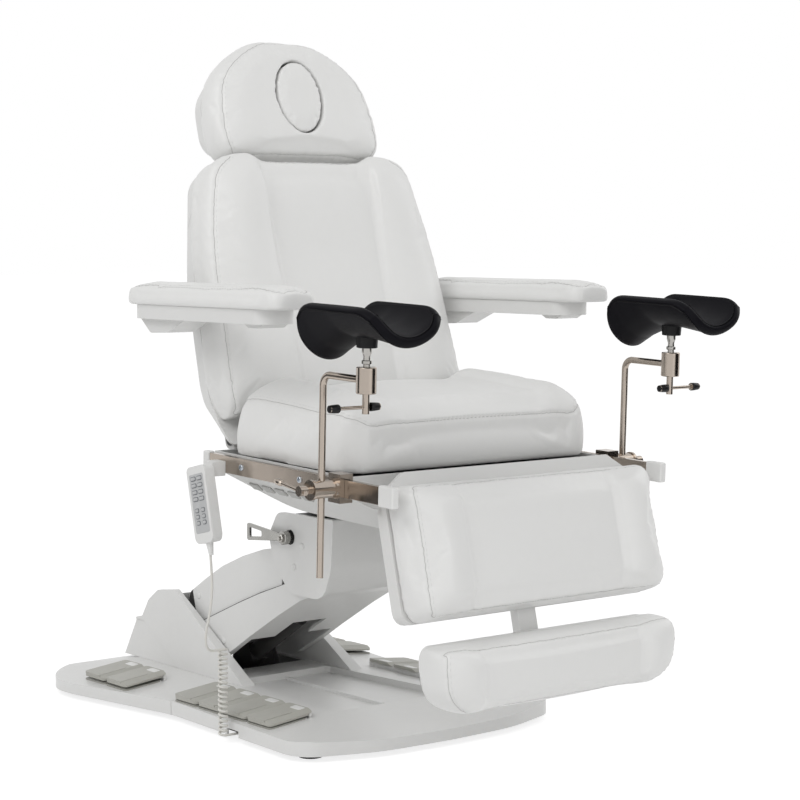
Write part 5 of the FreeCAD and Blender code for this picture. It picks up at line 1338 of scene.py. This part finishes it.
for side, sense in SIDES:
    for kind in ("rail_clamp", "clamp_screw", "crutch_pole", "pad_screw"):
        node = kind + "_" + side
        part = rounded(node, kind + "_turned_" + side, 0.0008, 2)
        settle(part, nickel, frame["nodes"][node]["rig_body"], "rail", node)
    along = Vector((0.0, 1.0, TOMMY_RISE + math.tan(SEAT_PITCH))).normalized()
    tommy = turned("tommy_bar_" + side, TOMMY, seat_spot(sense * (POLE_X + TOMMY_OUT), *TOMMY_AT), along)
    settle(tommy, nickel, frame["nodes"]["clamp_screw_" + side]["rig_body"], "rail")
    for end, out, way in SLEEVE_ENDS:
        spot = seat_spot(sense * (POLE_X + out), STUD_LINE, SLEEVE_HIGH)
        sleeve = turned("screw_sleeve_%s_%s" % (end, side), SLEEVE, spot, (way * sense, 0.0, 0.0))
        settle(sleeve, black_plastic, frame["nodes"]["pad_screw_" + side]["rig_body"], "pad")

# Knee pads: saddle-shaped troughs of black integral-skin foam moulded on a core, each with a black
# hub and a bright threaded stud below.
KNEE_HALF = 0.063
KNEE_GIRTH = 0.100
KNEE_BEND = 1.22
KNEE_LONG = 0.222
KNEE_REAR = 0.49
KNEE_LOW = 0.7505
KNEE_FLOOR = 0.020
KNEE_RUNS = (0.0, 0.010, 0.036, 0.098, 0.150, 0.208, 0.222)
KNEE_DROOP = (-0.051, -0.044, -0.028, -0.002, -0.002, -0.009, -0.015)
KNEE_RIM = 0.057
KNEE_CORNER = 0.052
KNEE_WALL = 0.018
KNEE_EDGE = 0.0066
KNEE_COLUMNS = 36
KNEE_ROWS = 44
HUB_DROP = 0.016
HUB_PROFILE = [(0.0, 0.0155), (0.0008, 0.0168), (0.006, 0.0170), (0.016, 0.0176), (0.026, 0.0190)]
STUD_DROP = 0.060
STUD_PROFILE = [(0.0, 0.0058), (0.018, 0.0058), (0.019, 0.0085), (0.0235, 0.0085), (0.0245, 0.0060),
                (0.030, 0.0058), (0.036, 0.0076), (0.037, 0.0080), (0.045, 0.0080)]
foam_skin = finish("black_foam_skin", (0.0050, 0.0048, 0.0068), (0.012, 0.0115, 0.014), 0.46, amount=0.4,
                   depth=0.00012, strength=0.4, gleam=0.05)


def knee_sheet(name, sense):
    """The pad's upper skin: a grid with rounded corners bent into the trough, thickened, its edge
    rounded over."""
    bpy.ops.object.select_all(action="DESELECT")
    bpy.ops.mesh.primitive_grid_add(x_subdivisions=KNEE_COLUMNS, y_subdivisions=KNEE_ROWS, size=2.0)
    piece = bpy.context.object
    piece.name = name
    points = read_points(piece.data)
    half_long = KNEE_LONG / 2
    for i, (u, v, w) in enumerate(points):
        across, along = u * KNEE_GIRTH, v * half_long
        over_x = abs(across) - (KNEE_GIRTH - KNEE_CORNER)
        over_y = abs(along) - (half_long - KNEE_CORNER)
        if over_x > 0 and over_y > 0:
            far = max(over_x, over_y) / math.hypot(over_x, over_y)
            across = math.copysign(KNEE_GIRTH - KNEE_CORNER + over_x * far, across)
            along = math.copysign(half_long - KNEE_CORNER + over_y * far, along)
        run = half_long - along
        droop = float(np.interp(run, KNEE_RUNS, KNEE_DROOP))
        share = across / KNEE_GIRTH
        low = KNEE_LOW + KNEE_FLOOR + droop
        high = KNEE_LOW + KNEE_RIM
        bend = min(abs(share), 1.0) * KNEE_BEND
        reach = KNEE_HALF * math.sin(bend) / math.sin(KNEE_BEND)
        rise = (1.0 - math.cos(bend)) / (1.0 - math.cos(KNEE_BEND))
        points[i] = seat_spot(sense * POLE_X + math.copysign(reach, share),
                              STUD_LINE + KNEE_LONG * KNEE_REAR - run, low + (high - low) * rise)
    write_points(piece.data, points)
    ease = piece.modifiers.new("ease", "SMOOTH")
    ease.factor = 0.5
    ease.iterations = 5
    wall = piece.modifiers.new("wall", "SOLIDIFY")
    wall.thickness = KNEE_WALL
    wall.offset = -1.0
    edge = piece.modifiers.new("edge", "BEVEL")
    edge.width = KNEE_EDGE
    edge.segments = 4
    edge.limit_method = "ANGLE"
    edge.angle_limit = math.radians(50.0)
    edge.use_clamp_overlap = False
    apply_all(piece)
    bpy.ops.object.shade_smooth()
    return piece


for side, sense in SIDES:
    node = "knee_pad_" + side
    body = frame["nodes"][node]["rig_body"]
    pad = knee_sheet("knee_trough_" + side, sense)
    settle(pad, foam_skin, body, "pad", node)
    up = Vector((0.0, -math.sin(SEAT_PITCH), math.cos(SEAT_PITCH)))
    hub_spot = seat_spot(sense * POLE_X, STUD_LINE, KNEE_LOW - HUB_DROP)
    settle(turned("knee_hub_" + side, HUB_PROFILE, hub_spot, up), black_plastic, body, "pad")
    stud_spot = seat_spot(sense * POLE_X, STUD_LINE, KNEE_LOW - STUD_DROP)
    settle(turned("knee_stud_" + side, STUD_PROFILE, stud_spot, up), bright_steel, body, "rail")

# Hand control: two-shell white plastic case on its holder, with a grey membrane panel, raised
# soft keys in two groups and a tapered strain relief.
HANDSET_LEAN = math.radians(13.0)
HANDSET_AT = (-0.345, -0.032, 0.431)
MEMBRANE_SIZE = (0.044, 0.104)
KEY_ROWS = [0.046, 0.034, 0.022, 0.010, -0.010, -0.021, -0.032]
KEY_COLUMNS = (-0.0095, 0.0095)
BIG_KEY_ROWS = 4
BIG_KEY_WIDE = 0.0165
SMALL_KEY_WIDE = 0.0120
KEY_TALL = 0.0080
KEY_TOP_TALL = 0.0052
KEY_TOP_INSET = 0.0026
case = rounded("handset", "hand_control", 0.0042, 4)
settle(case, cap_plastic, "seat", "control", "handset")
membrane = finish("membrane_grey", (0.52, 0.525, 0.53), (0.43, 0.435, 0.44), 0.4, amount=0.25)
soft_key = finish("soft_key_grey", (0.15, 0.16, 0.17), (0.22, 0.23, 0.24), 0.5, amount=0.5)
handset_place = Matrix.Translation(HANDSET_AT) @ Matrix.Rotation(-HANDSET_LEAN, 4, "X")
stand_up = Matrix(((0.0, 0.0, -1.0, 0.0), (1.0, 0.0, 0.0, 0.0), (0.0, 1.0, 0.0, 0.0), (0.0, 0.0, 0.0, 1.0)))


def face_plate(name, material, middle, size, low, high, radius):
    """A raised rounded plate on the control's outer face, drawn lying flat and then stood up."""
    (y, z), (wide, tall) = middle, size
    piece = block(name, (y - wide / 2, z - tall / 2, low), (y + wide / 2, z + tall / 2, high))
    corner_edges(piece, radius)
    break_edges(piece, 0.00035, 2)
    piece.data.transform(handset_place @ stand_up)
    settle(piece, material, "seat", "control")


face_plate("control_membrane", membrane, (0.0, 0.002), MEMBRANE_SIZE, 0.0092, 0.0105, 0.004)
for row, height in enumerate(KEY_ROWS):
    for column, across in enumerate(KEY_COLUMNS):
        wide = BIG_KEY_WIDE if row < BIG_KEY_ROWS else SMALL_KEY_WIDE
        middle = (across, height)
        face_plate("control_key_%d_%d" % (row, column), soft_key, middle, (wide, KEY_TALL),
                   0.0100, 0.0112, 0.0030)
        face_plate("control_key_top_%d_%d" % (row, column), membrane, middle,
                   (wide - KEY_TOP_INSET, KEY_TOP_TALL), 0.0110, 0.0118, 0.0020)
